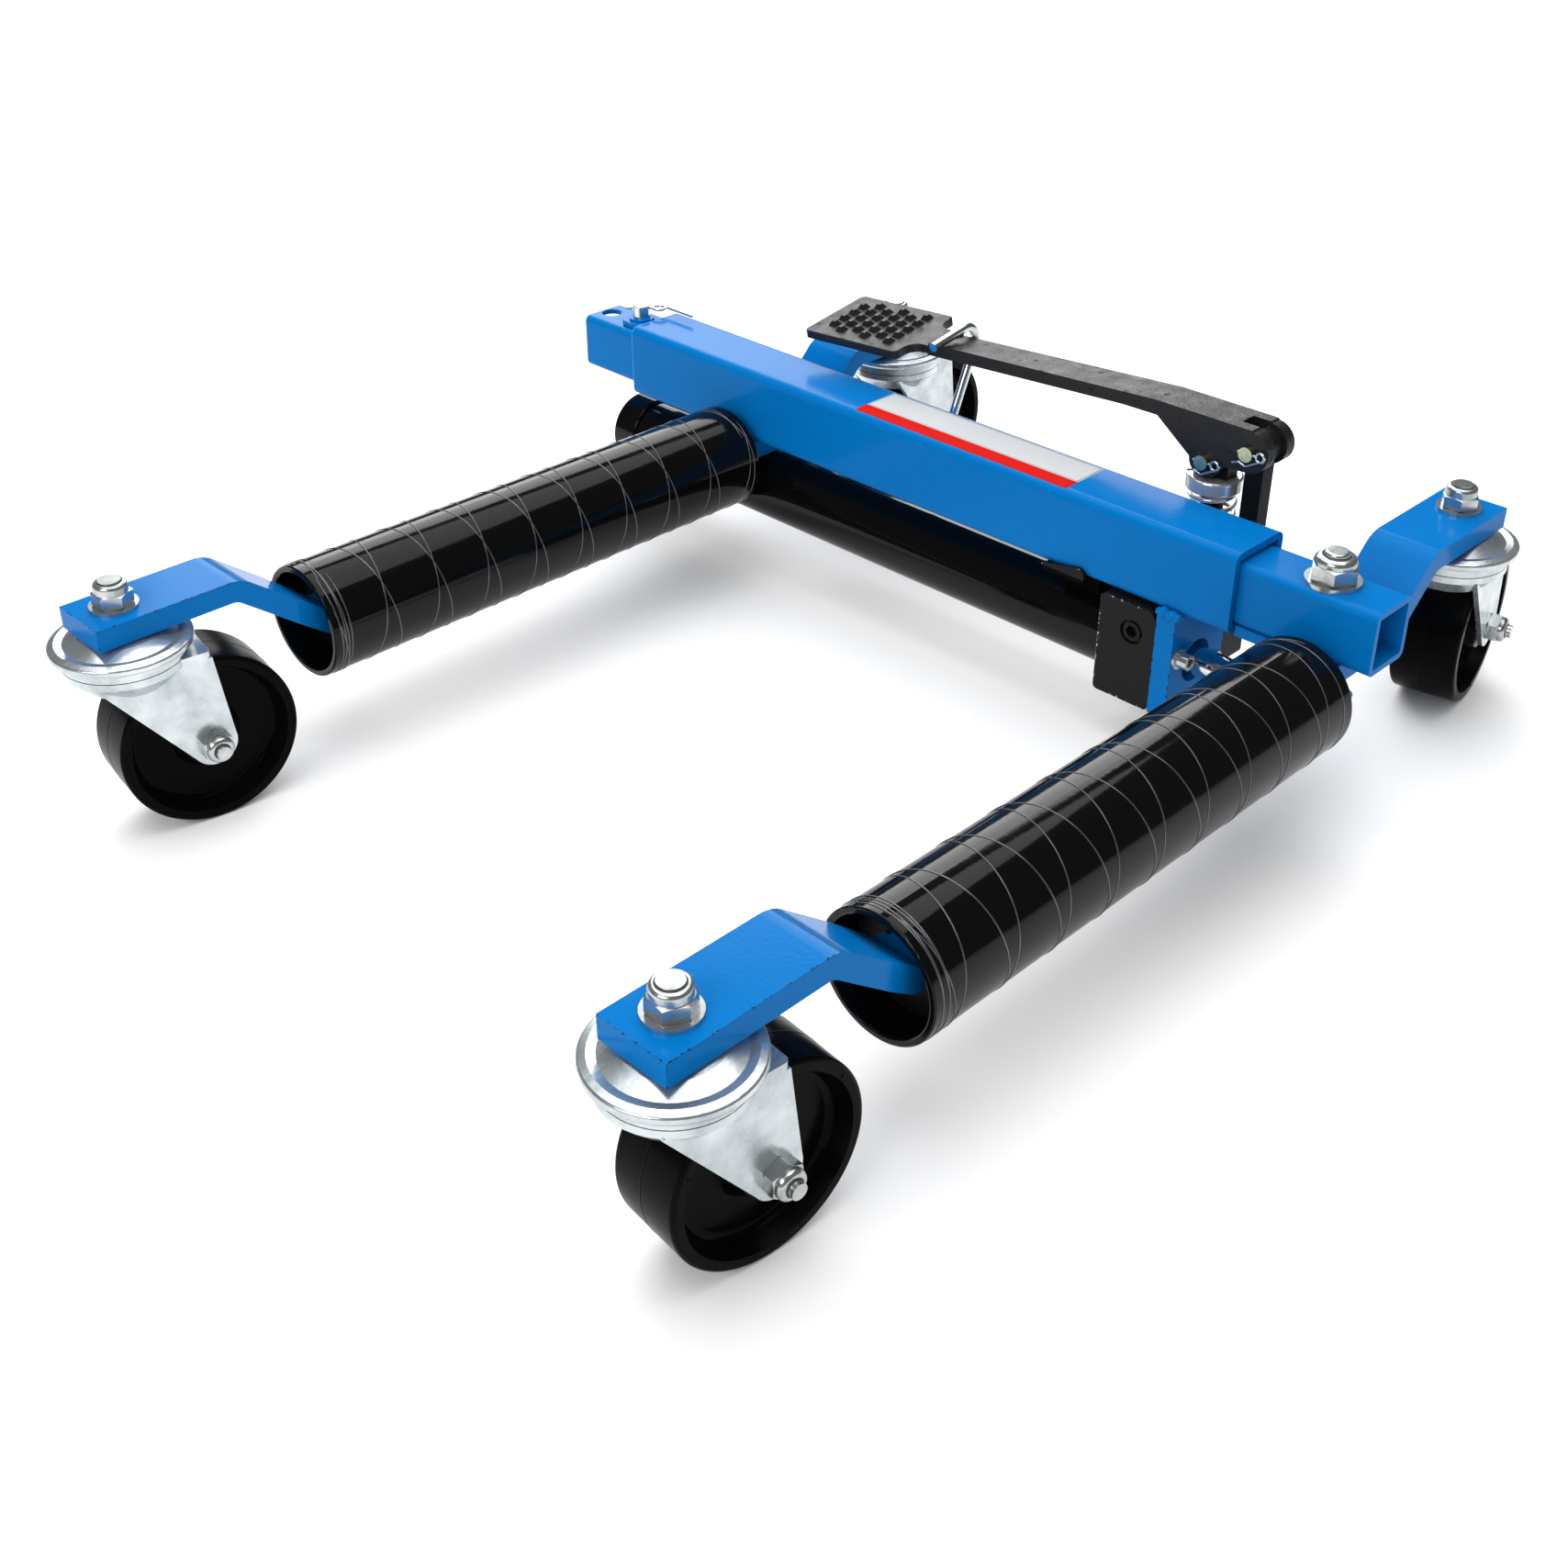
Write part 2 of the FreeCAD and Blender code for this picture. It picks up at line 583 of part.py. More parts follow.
def caster_fork():
    """Pressed fork: round crown under the race and two tapering legs to the axle."""
    inner = WHEEL_WIDTH / 2 + FORK_SIDE_GAP
    outer = inner + FORK_SHEET
    top = CROWN_UNDERSIDE + CROWN_THICKNESS
    crown_radius = CROWN_DIAMETER / 2
    profile = [
        (0, CROWN_THICKNESS),
        (crown_radius, CROWN_THICKNESS),
        (crown_radius, 0),
        (CROWN_NECK_DIAMETER / 2, -CROWN_NECK_DROP),
        (0, -CROWN_NECK_DROP),
    ]
    fork = revolved(profile, V(0, 0, CROWN_UNDERSIDE), Z)
    yoke = box(V(-outer, -FORK_FRONT_REACH, CROWN_UNDERSIDE), V(outer, FORK_REAR_REACH, top))
    fork = fork.fuse(yoke.makeFillet(FORK_SHEET, edges_along(yoke, Z)))
    boss = FORK_BOSS_DIAMETER / 2
    slant = boss * math.sqrt(0.5)
    axle = V(0, CASTER_TRAIL, WHEEL_DIAMETER / 2)
    for side in (-outer, inner):
        across = X * side
        outline = [
            V(side, -FORK_FRONT_REACH, CROWN_UNDERSIDE),
            V(side, FORK_REAR_REACH, CROWN_UNDERSIDE),
            axle + V(side, boss, 0),
            axle + V(side, -slant, -slant),
        ]
        leg = prism(outline, X * FORK_SHEET)
        fork = fork.fuse(leg.fuse(rod(axle + across, axle + across + X * FORK_SHEET, boss)))
    wheel_room = rod(axle - X * inner, axle + X * inner, WHEEL_DIAMETER / 2 + WHEEL_CROWN_GAP)
    over = X * (outer + CUT_OVERRUN)
    axle_bore = rod(axle - over, axle + over, AXLE_DIAMETER / 2 + SHAFT_CLEARANCE)
    seat = V(0, 0, CROWN_UNDERSIDE)
    deep = seat - Z * (CROWN_NECK_DROP + CUT_OVERRUN)
    bore = rod(deep, V(0, 0, top + CUT_OVERRUN), KINGPIN_DIAMETER / 2 + SHAFT_CLEARANCE)
    head_room = rod(deep, seat, KINGPIN_HEAD_DIAMETER / 2 + 2 * SLIDE_CLEARANCE)
    return fork.cut([wheel_room, axle_bore, bore, head_room]).removeSplitter()


def caster_axle():
    """Axle bolt with its nut, and the tube that the fork's legs clamp."""
    inner = WHEEL_WIDTH / 2 + FORK_SIDE_GAP
    outer = inner + FORK_SHEET
    axle = V(0, CASTER_TRAIL, WHEEL_DIAMETER / 2)
    radius = AXLE_DIAMETER / 2
    head = nut_hexagon(axle - X * (outer + AXLE_HEAD_HEIGHT), X, AXLE_HEAD_FLATS, AXLE_HEAD_HEIGHT)
    end = axle + X * (outer + AXLE_NUT_HEX_HEIGHT + AXLE_NUT_COLLAR_HEIGHT + AXLE_TIP)
    bolt = head.fuse(rod(axle - X * outer, end, radius)).removeSplitter()
    nut = collar_nut(
        axle + X * outer,
        X,
        AXLE_HEAD_FLATS,
        AXLE_NUT_HEX_HEIGHT,
        AXLE_NUT_COLLAR_HEIGHT,
        radius + SHAFT_CLEARANCE,
    )
    sleeve = pipe(axle - X * inner, axle + X * inner, AXLE_TUBE_DIAMETER / 2, radius + SHAFT_CLEARANCE)
    return Part.makeCompound([bolt, nut, sleeve])


def caster_wheel():
    """Plastic wheel with round shoulders, recessed sides and a plain bore."""
    half = WHEEL_WIDTH / 2
    radius = WHEEL_DIAMETER / 2
    bore = AXLE_TUBE_DIAMETER / 2 + SHAFT_CLEARANCE
    hub = WHEEL_HUB_DIAMETER / 2
    rim = radius - WHEEL_RIM
    floor = half - WHEEL_RECESS
    side = [
        (hub, half),
        (hub + WHEEL_RECESS_SLOPE, floor),
        (rim - WHEEL_RECESS_SLOPE, floor),
        (rim, half),
        (radius, half),
    ]
    profile = [(bore, -half), (bore, half)] + side
    profile += [(place, -along) for place, along in side[::-1]]
    wheel = revolved(profile, V(0, CASTER_TRAIL, radius), X)
    rings = [edge for edge in wheel.Edges if edge.Curve.TypeId == "Part::GeomCircle"]
    shoulders = [edge for edge in rings if edge.Curve.Radius > radius - WHEEL_RIM / 2]
    wheel = wheel.makeFillet(WHEEL_SHOULDER, shoulders)
    rings = [edge for edge in wheel.Edges if edge.Curve.TypeId == "Part::GeomCircle"]
    hollows = [edge for edge in rings if hub + EDGE_ROUND < edge.Curve.Radius < rim - EDGE_ROUND]
    return wheel.makeFillet(WHEEL_RECESS_SLOPE, hollows)


def caster_race():
    """Upper race that the kingpin clamps against the bar: stepped ring, rolled rim and raised middle."""
    rim = RACE_DIAMETER / 2
    boss = RACE_BOSS_DIAMETER / 2
    bore = KINGPIN_DIAMETER / 2 + SHAFT_CLEARANCE
    crown = CROWN_DIAMETER / 2
    middle = (rim + boss) / 2
    ring_shares = [(0.0, 0.0), (0.0, 0.14), (0.3, 0.18), (0.3, 0.3), (1.0, 0.4), (1.0, 0.62)]
    brow_share, trough_share, dome_share = 0.7, 0.66, 0.86
    profile = [(bore, 0)]
    profile += [(crown + (rim - crown) * out, RACE_HEIGHT * up) for out, up in ring_shares]
    profile += [
        ((rim + middle) / 2, RACE_HEIGHT * brow_share),
        (middle, RACE_HEIGHT * trough_share),
        (boss, RACE_HEIGHT * dome_share),
        ((boss + bore) / 2, RACE_HEIGHT),
        (bore, RACE_HEIGHT),
    ]
    race = revolved(profile, V(0, 0, RACE_UNDERSIDE), Z)
    brim = [
        edge
        for edge in race.Edges
        if edge.Curve.TypeId == "Part::GeomCircle" and edge.Curve.Radius > rim - EDGE_ROUND
    ]
    return race.makeFillet(BRIM_ROUND, brim)


def caster_kingpin():
    """Kingpin bolt through crown, race and bar, with its flanged lock nut."""
    radius = KINGPIN_DIAMETER / 2
    head_top = V(0, 0, CROWN_UNDERSIDE - SEAT_GAP)
    nut_height = KING_NUT_FLANGE_HEIGHT + KING_NUT_HEX_HEIGHT + KING_NUT_COLLAR_HEIGHT
    end = V(0, 0, BAR_TOP + nut_height + KINGPIN_TIP)
    bolt = rod(head_top - Z * KINGPIN_HEAD_HEIGHT, head_top, KINGPIN_HEAD_DIAMETER / 2)
    bolt = bolt.fuse(rod(head_top, end, radius)).removeSplitter()
    nut = lock_nut(
        V(0, 0, BAR_TOP),
        KING_NUT_FLATS,
        KING_NUT_FLANGE,
        KING_NUT_FLANGE_HEIGHT,
        KING_NUT_HEX_HEIGHT,
        KING_NUT_COLLAR_HEIGHT,
        radius + SHAFT_CLEARANCE,
    )
    return Part.makeCompound([bolt, nut])


def cylinder_tube():
    """Pull cylinder's tube, from its end cap to the valve block."""
    start = V(0, BEAM_MIDDLE, CYLINDER_HEIGHT)
    end = V(BLOCK_LEFT, BEAM_MIDDLE, CYLINDER_HEIGHT)
    return pipe(start, end, CYLINDER_DIAMETER / 2, CYLINDER_BORE_RADIUS)


def cylinder_end_cap():
    """Left end cap with a spigot in the tube."""
    seat = V(0, BEAM_MIDDLE, CYLINDER_HEIGHT)
    cap = rod(seat - X * END_CAP_LENGTH, seat, END_CAP_DIAMETER / 2)
    rims = [edge for edge in cap.Edges if edge.Curve.TypeId == "Part::GeomCircle"]
    cap = cap.makeFillet(BRIM_ROUND, rims)
    spigot = CYLINDER_BORE_RADIUS - SHAFT_CLEARANCE
    return cap.fuse(rod(seat, seat + X * END_CAP_SPIGOT, spigot)).removeSplitter()


def piston():
    """Piston on the ram's left end."""
    start = V(END_CAP_SPIGOT + PISTON_END_GAP, BEAM_MIDDLE, CYLINDER_HEIGHT)
    outer = CYLINDER_BORE_RADIUS - SHAFT_CLEARANCE
    return pipe(start, start + X * PISTON_LENGTH, outer, RAM_RADIUS)


def ram_rod():
    """Chromed ram with the eye for the arm bolt at its right end."""
    start = V(END_CAP_SPIGOT + PISTON_END_GAP, BEAM_MIDDLE, CYLINDER_HEIGHT)
    eye = V(RIGHT_BAR_X, BEAM_MIDDLE, CYLINDER_HEIGHT)
    half = V(RAM_EYE_LENGTH / 2, RAM_EYE_WIDTH / 2, RAM_EYE_HEIGHT / 2)
    block = box(eye - half, eye + half)
    block = block.makeFillet(RAM_EYE_WIDTH / 4, edges_along(block, Z))
    ram = rod(start, eye, RAM_RADIUS).fuse(block)
    over = Z * RAM_EYE_HEIGHT
    bore = rod(eye - over, eye + over, ARM_BOLT_DIAMETER / 2 + SHAFT_CLEARANCE)
    return ram.cut(bore).removeSplitter()


def ram_gland():
    """Guide bush of the ram, set in the valve block."""
    start = V(BLOCK_LEFT, BEAM_MIDDLE, CYLINDER_HEIGHT)
    end = V(BRACKET_LEFT, BEAM_MIDDLE, CYLINDER_HEIGHT)
    return pipe(start, end, RAM_RADIUS + GLAND_WALL, RAM_RADIUS + SHAFT_CLEARANCE)


def ram_spacer():
    """Sleeve round the arm bolt between the right cross bar and the ram's eye."""
    low = V(RIGHT_BAR_X, BEAM_MIDDLE, CYLINDER_HEIGHT + RAM_EYE_HEIGHT / 2)
    high = V(RIGHT_BAR_X, BEAM_MIDDLE, INNER_UNDERSIDE - BAR_THICKNESS)
    return pipe(low, high, SPACER_DIAMETER / 2, ARM_BOLT_DIAMETER / 2 + SHAFT_CLEARANCE)


def arm_bolt():
    """Long bolt that ties the ram's eye, the right cross bar and the inner tube together."""
    radius = ARM_BOLT_DIAMETER / 2
    seat = V(RIGHT_BAR_X, BEAM_MIDDLE, CYLINDER_HEIGHT - RAM_EYE_HEIGHT / 2)
    nut_height = ARM_NUT_FLANGE_HEIGHT + ARM_NUT_HEX_HEIGHT + ARM_NUT_COLLAR_HEIGHT
    end = V(RIGHT_BAR_X, BEAM_MIDDLE, INNER_TOP + nut_height + ARM_BOLT_TIP)
    head = nut_hexagon(seat - Z * ARM_BOLT_HEAD_HEIGHT, Z, ARM_BOLT_HEAD_FLATS, ARM_BOLT_HEAD_HEIGHT)
    bolt = head.fuse(rod(seat, end, radius)).removeSplitter()
    rim = [edge for edge in bolt.Edges if edge.BoundBox.ZMin > end.z - EDGE_ROUND]
    return bolt.makeFillet(BRIM_ROUND, rim)


def arm_nut():
    """Flanged lock nut of the arm bolt, on top of the inner tube."""
    return lock_nut(
        V(RIGHT_BAR_X, BEAM_MIDDLE, INNER_TOP),
        ARM_NUT_FLATS,
        ARM_NUT_FLANGE,
        ARM_NUT_FLANGE_HEIGHT,
        ARM_NUT_HEX_HEIGHT,
        ARM_NUT_COLLAR_HEIGHT,
        ARM_BOLT_DIAMETER / 2 + SHAFT_CLEARANCE,
    )


def stop_strip():
    """Strip under the inner tube that meets the outer tube's end when the jack is closed."""
    low = V(OUTER_LENGTH + STOP_STRIP_GAP, INNER_FRONT, INNER_UNDERSIDE - STOP_STRIP_THICKNESS)
    return box(low, V(RIGHT_BAR_X - BAR_WIDTH / 2, INNER_BACK, INNER_UNDERSIDE))


def cylinder_saddle():
    """Saddle between the cylinder and the beam, with a lip on the beam's front face."""
    right = BLOCK_LEFT - SADDLE_LEFT_GAP
    left = right - SADDLE_LENGTH
    front = BEAM_MIDDLE - SADDLE_DEPTH / 2
    seat = box(V(left, front, CYLINDER_HEIGHT), V(right, front + SADDLE_DEPTH, BEAM_UNDERSIDE))
    lip_front = -SADDLE_LIP_THICKNESS
    web_low = BEAM_UNDERSIDE - SADDLE_WEB
    web = box(V(left, lip_front, web_low), V(right, front, BEAM_UNDERSIDE))
    lip = prism(
        [
            V(left, lip_front, web_low),
            V(right, lip_front, web_low),
            V(right, lip_front, BEAM_UNDERSIDE + SADDLE_LIP_RISE),
            V(left, lip_front, BEAM_UNDERSIDE + SADDLE_LIP_LOW_RISE),
        ],
        Y * SADDLE_LIP_THICKNESS,
    )
    lip = lip.makeFillet(SADDLE_CORNER, [top_right(lip)])
    start = V(left - CUT_OVERRUN, BEAM_MIDDLE, CYLINDER_HEIGHT)
    end = V(right + CUT_OVERRUN, BEAM_MIDDLE, CYLINDER_HEIGHT)
    saddle = seat.fuse(lip).fuse(web).cut(rod(start, end, CYLINDER_DIAMETER / 2))
    return largest_solid(saddle.removeSplitter())


def top_right(shape):
    """Edge along y that lies highest and furthest to the right."""
    return max(edges_along(shape, Y), key=lambda edge: edge.BoundBox.XMin + edge.BoundBox.ZMin)


def largest_solid(shape):
    """Largest solid of a shape that a cut may have parted."""
    return max(shape.Solids, key=lambda solid: solid.Volume)


def ram_bracket():
    """Bracket plate under the beam, with the ram's hole and the screw holes."""
    low = V(BRACKET_LEFT, -BLOCK_FRONT_REACH, BLOCK_BOTTOM)
    plate = box(low, V(BRACKET_RIGHT, OUTER_DEPTH + BRACKET_REAR_REACH, BEAM_UNDERSIDE))
    over = X * CUT_OVERRUN
    start = V(BRACKET_LEFT, BEAM_MIDDLE, CYLINDER_HEIGHT) - over
    end = V(BRACKET_RIGHT, BEAM_MIDDLE, CYLINDER_HEIGHT) + over
    plate = plate.cut(rod(start, end, BRACKET_HOLE_DIAMETER / 2))
    for seat in screw_seats():
        hole = rod(seat + over, seat - X * (BRACKET_THICKNESS + CUT_OVERRUN), screw_hole_radius())
        plate = plate.cut(hole)
    return plate


def screw_hole_radius():
    """Radius of the holes for the bracket screws."""
    return SCREW_DIAMETER / 2 + SHAFT_CLEARANCE


def screw_seats():
    """Centres of the bracket screws' seats on the plate's right face, across the ram from each other."""
    front = V(BRACKET_RIGHT, SCREW_EDGE - BLOCK_FRONT_REACH, CYLINDER_HEIGHT + SCREW_OFFSET)
    back_y = OUTER_DEPTH + BRACKET_REAR_REACH - SCREW_EDGE
    return [front, V(BRACKET_RIGHT, back_y, CYLINDER_HEIGHT - SCREW_OFFSET)]


def bracket_screws():
    """Socket head screws with washers that hold the valve block to the bracket."""
    screws = []
    for seat in screw_seats():
        head_base = seat + X * SCREW_WASHER_THICKNESS
        head_top = head_base + X * SCREW_HEAD_HEIGHT
        washer = pipe(seat, head_base, SCREW_WASHER_DIAMETER / 2, screw_hole_radius())
        head = rod(head_base, head_top, SCREW_HEAD_DIAMETER / 2)
        socket_depth = SCREW_HEAD_HEIGHT / 2
        socket = hexagon(head_top - X * socket_depth, X, SCREW_SOCKET_FLATS, SCREW_HEAD_HEIGHT)
        shank = rod(head_base - X * SCREW_LENGTH, head_base, SCREW_DIAMETER / 2)
        screws += [washer, head.cut(socket).fuse(shank).removeSplitter()]
    return Part.makeCompound(screws)


def plug_seat():
    """Centre of the plug on the valve block's front face."""
    return V(BRACKET_LEFT - PLUG_INSET, -BLOCK_FRONT_REACH, BLOCK_TOP - PLUG_DROP)


def valve_block():
    """Valve block: ram guide in front, pump seat behind, lugs for the link and all its bores."""
    block = box(V(BLOCK_LEFT, -BLOCK_FRONT_REACH, BLOCK_BOTTOM), V(BRACKET_LEFT, BLOCK_BACK, BLOCK_TOP))
    corner = top_right(block)
    small = [edge for edge in edges_along(block, Y) if not edge.isSame(corner)]
    block = block.makeFillet(BLOCK_CORNER, small)
    block = block.makeFillet(BLOCK_ROUND, [top_right(block)])
    over = X * CUT_OVERRUN
    start = V(BLOCK_LEFT, BEAM_MIDDLE, CYLINDER_HEIGHT) - over
    end = V(BRACKET_LEFT, BEAM_MIDDLE, CYLINDER_HEIGHT) + over
    block = block.cut(rod(start, end, RAM_RADIUS + GLAND_WALL))
    pump_low = V(PUMP_X, PUMP_Y, BLOCK_TOP - PUMP_SEAT)
    block = block.cut(rod(pump_low, pump_low + Z * (PUMP_SEAT + CUT_OVERRUN), PUMP_DIAMETER / 2))
    plug = plug_seat()
    block = block.cut(rod(plug - Y * CUT_OVERRUN, plug + Y * PLUG_DEPTH, PLUG_DIAMETER / 2))
    valve = valve_seat()
    spindle = VALVE_SPINDLE_DIAMETER / 2 + SHAFT_CLEARANCE
    block = block.cut(rod(valve - Y * (VALVE_SPINDLE_SEAT + SEAT_GAP), valve + Y * CUT_OVERRUN, spindle))
    for seat in screw_seats():
        deep = seat - X * (SCREW_LENGTH + CUT_OVERRUN)
        block = block.cut(rod(deep, seat, screw_hole_radius()))
    foot = V(FULCRUM_X, PUMP_Y, LINK_FOOT_Z)
    for side in (-1, 1):
        near = PUMP_Y + side * CHEEK_GAP / 2
        far = near + side * LUG_THICKNESS
        low = V(BRACKET_LEFT - BLOCK_ROUND, min(near, far), foot.z - LUG_HEIGHT / 2)
        high = V(BRACKET_LEFT + LUG_REACH, max(near, far), foot.z + LUG_HEIGHT / 2)
        lug = box(low, high)
        ends = [edge for edge in edges_along(lug, Y) if edge.BoundBox.XMin > BRACKET_LEFT]
        block = block.fuse(lug.makeFillet(LUG_HEIGHT / 3, ends))
    eye_room = LINK_EYE_DIAMETER / 2 + 2 * SLIDE_CLEARANCE
    slot_low = foot - V(eye_room, CHEEK_GAP / 2, eye_room)
    slot_high = V(BRACKET_LEFT + CUT_OVERRUN, PUMP_Y + CHEEK_GAP / 2, BLOCK_TOP + CUT_OVERRUN)
    block = block.cut(box(slot_low, slot_high))
    reach = Y * (CHEEK_GAP + LUG_THICKNESS)
    pin_hole = rod(foot - reach, foot + reach, PIN_DIAMETER / 2 + SHAFT_CLEARANCE)
    return block.cut(pin_hole).removeSplitter()


def block_plug():
    """Plug in the valve block's front face, with a hexagonal socket and a groove round its head."""
    face = plug_seat()
    deep = face + Y * PLUG_DEPTH
    plug = rod(face + Y * SEAT_GAP, deep, PLUG_HEAD_DIAMETER / 2)
    plug = plug.fuse(rod(face + Y * PLUG_GROOVE_DEPTH, deep, PLUG_DIAMETER / 2 - SHAFT_CLEARANCE))
    socket = hexagon(face - Y * CUT_OVERRUN, Y, PLUG_SOCKET_FLATS, PLUG_SOCKET_DEPTH + CUT_OVERRUN)
    return plug.cut(socket).removeSplitter()


def valve_seat():
    """Centre of the release valve on the valve block's back face."""
    return V(PUMP_X, BLOCK_BACK, BLOCK_BOTTOM + VALVE_HEIGHT)


def release_valve():
    """Release valve: spindle, round knob and cross bar for the foot."""
    face = valve_seat()
    out = face + Y * (VALVE_SPINDLE_LENGTH - VALVE_SPINDLE_SEAT)
    spindle = rod(face - Y * VALVE_SPINDLE_SEAT, out, VALVE_SPINDLE_DIAMETER / 2)
    knob = rod(out, out + Y * VALVE_KNOB_LENGTH, VALVE_KNOB_DIAMETER / 2)
    middle = out + Y * (VALVE_KNOB_LENGTH / 2)
    half = X * (VALVE_BAR_LENGTH / 2)
    bar = rod(middle - half, middle + half, VALVE_BAR_DIAMETER / 2)
    return spindle.fuse(knob).fuse(bar).removeSplitter()


def pump_cylinder():
    """Pump cylinder, seated in the valve block."""
    low = V(PUMP_X, PUMP_Y, BLOCK_TOP - PUMP_SEAT)
    high = V(PUMP_X, PUMP_Y, BLOCK_TOP + PUMP_RISE)
    return pipe(low, high, PUMP_DIAMETER / 2, PLUNGER_DIAMETER / 2 + SHAFT_CLEARANCE)


def plunger():
    """Pump plunger with a slotted tongue between the lever's cheeks, whose shoulders hold the cap."""
    low = V(PUMP_X, PUMP_Y, BLOCK_TOP - PUMP_SEAT / 2)
    cap_top = V(PUMP_X, PUMP_Y, SPRING_CAP_UNDERSIDE + SPRING_CAP_THICKNESS)
    pin = V(PUMP_X, PUMP_Y, PLUNGER_PIN_Z)
    body = rod(low, cap_top, PLUNGER_DIAMETER / 2)
    half = V(TONGUE_WIDTH / 2, LINK_THICKNESS / 2, 0)
    tongue = box(cap_top - half, pin + half)
    deep = Y * (LINK_THICKNESS / 2)
    body = body.fuse(tongue).fuse(rod(pin - deep, pin + deep, TONGUE_WIDTH / 2))
    radius = PIN_DIAMETER / 2 + PIN_SLOT_LIFT
    over = Y * LINK_THICKNESS
    slide = X * PIN_SLOT_PLAY
    slot = box(pin - slide - over - Z * radius, pin + slide + over + Z * radius)
    for end in (pin - slide, pin + slide):
        slot = slot.fuse(rod(end - over, end + over, radius))
    return body.cut(slot).removeSplitter()


def spring_cap():
    """Round cap on the plunger that the return spring lifts."""
    low = V(PUMP_X, PUMP_Y, SPRING_CAP_UNDERSIDE)
    high = low + Z * SPRING_CAP_THICKNESS
    cap = pipe(low, high, SPRING_CAP_DIAMETER / 2, PLUNGER_DIAMETER / 2)
    brim = [edge for edge in cap.Edges if edge.Curve.TypeId == "Part::GeomCircle"]
    brim = [edge for edge in brim if edge.Curve.Radius > PLUNGER_DIAMETER]
    return cap.makeFillet(BRIM_ROUND, brim)


def spring_point(quarter, radius, pitch, base):
    """Point on the spring's helix after a number of quarter turns, and its direction there."""
    turn = quarter * math.pi / 2
    place = base + V(radius * math.cos(turn), radius * math.sin(turn), pitch * quarter / 4)
    run = V(-radius * math.sin(turn), radius * math.cos(turn), pitch / (2 * math.pi))
    return place, run.normalize()


def biarc(start, start_run, end, end_run):
    """Two arcs that join two points and keep the direction at both."""
    chord = end - start
    both = start_run + end_run
    spread = 2 * (1 - start_run.dot(end_run))
    reach = (math.sqrt(chord.dot(both) ** 2 + spread * chord.dot(chord)) - chord.dot(both)) / spread
    joint = (start + start_run * reach + end - end_run * reach) / 2
    return [arc_through(start, start_run, joint), arc_through(end, end_run * -1, joint)]


def return_spring():
    """Return spring round the pump cylinder, one wire wound in a helix of biarcs."""
    radius = SPRING_DIAMETER / 2
    low = BLOCK_TOP + SEAT_GAP + SPRING_WIRE / 2
    high = SPRING_CAP_UNDERSIDE - SEAT_GAP - SPRING_WIRE / 2
    pitch = (high - low) / SPRING_TURNS
    base = V(PUMP_X, PUMP_Y, low)
    stops = [spring_point(quarter, radius, pitch, base) for quarter in range(4 * SPRING_TURNS + 1)]
    edges = []
    for (start, start_run), (end, end_run) in zip(stops, stops[1:]):
        edges += biarc(start, start_run, end, end_run)
    apart = [
        (after[0] - before[0]).Length
        for index, before in enumerate(stops)
        for after in stops[index + 3:]
    ]
    print("return spring, least gap to itself: %.2f mm" % (min(apart) - SPRING_WIRE))
    start, start_run = stops[0]
    section = Part.Wire([Part.makeCircle(SPRING_WIRE / 2, start, start_run)])
    return Part.Wire(Part.sortEdges(edges)[0]).makePipeShell([section], True, False)


def pedal_link():
    """Link that carries the lever's fulcrum on the valve block's lugs."""
    foot = V(FULCRUM_X, PUMP_Y, LINK_FOOT_Z)
    head = V(FULCRUM_X, PUMP_Y, FULCRUM_Z)
    deep = Y * (LINK_THICKNESS / 2)
    half = V(LINK_WIDTH / 2, LINK_THICKNESS / 2, 0)
    link = box(foot - half, head + half)
    for end in (foot, head):
        link = link.fuse(rod(end - deep, end + deep, LINK_EYE_DIAMETER / 2))
    for end in (foot, head):
        over = Y * LINK_THICKNESS
        link = link.cut(rod(end - over, end + over, PIN_DIAMETER / 2 + SHAFT_CLEARANCE))
    return link.removeSplitter()


def clevis_pin(centre, half_span, tip_run, clip_run):
    """Pin with a round head at one end and a cross hole for its clip at the free end."""
    seat = centre - tip_run * half_span
    tip = centre + tip_run * (half_span + PIN_TIP)
    pin = rod(seat, tip, PIN_DIAMETER / 2)
    pin = pin.fuse(rod(seat - tip_run * PIN_HEAD_HEIGHT, seat, PIN_HEAD_DIAMETER / 2))
    hole = clip_centre(centre, half_span, tip_run)
    over = clip_run * PIN_DIAMETER
    pin = pin.cut(rod(hole - over, hole + over, CLIP_WIRE / 2 + SHAFT_CLEARANCE))
    return pin.removeSplitter()


def clip_centre(centre, half_span, tip_run):
    """Place of a pin's cross hole."""
    return centre + tip_run * (half_span + PIN_TIP / 2)


def pin_clip(hole, run, aside):
    """Spring clip: a leg through the pin's cross hole, a coil at its end and a kinked free leg aside."""
    pin = PIN_DIAMETER / 2
    coil = hole + run * (pin + CLIP_WIRE + CLIP_COIL_RADIUS)
    start = hole - run * (pin + CLIP_WIRE)
    clip = rod(start, coil - run * CLIP_COIL_RADIUS, CLIP_WIRE / 2)
    clip = clip.fuse(Part.makeTorus(CLIP_COIL_RADIUS, CLIP_WIRE / 2, coil, Y))
    near = aside * (pin + CLIP_WIRE)
    far = aside * (pin + 2 * CLIP_WIRE)
    leg = [
        coil + aside * CLIP_COIL_RADIUS,
        hole + far,
        hole + near - run * pin,
        hole + far - run * (2 * pin),
    ]
    return clip.fuse(bent_rod(leg, CLIP_WIRE, [CLIP_WIRE, CLIP_WIRE])).removeSplitter()


def lever_pin_places():
    """Middles of the lever's plunger pin and fulcrum pin."""
    return [V(PUMP_X, PUMP_Y, PLUNGER_PIN_Z), V(FULCRUM_X, PUMP_Y, FULCRUM_Z)]


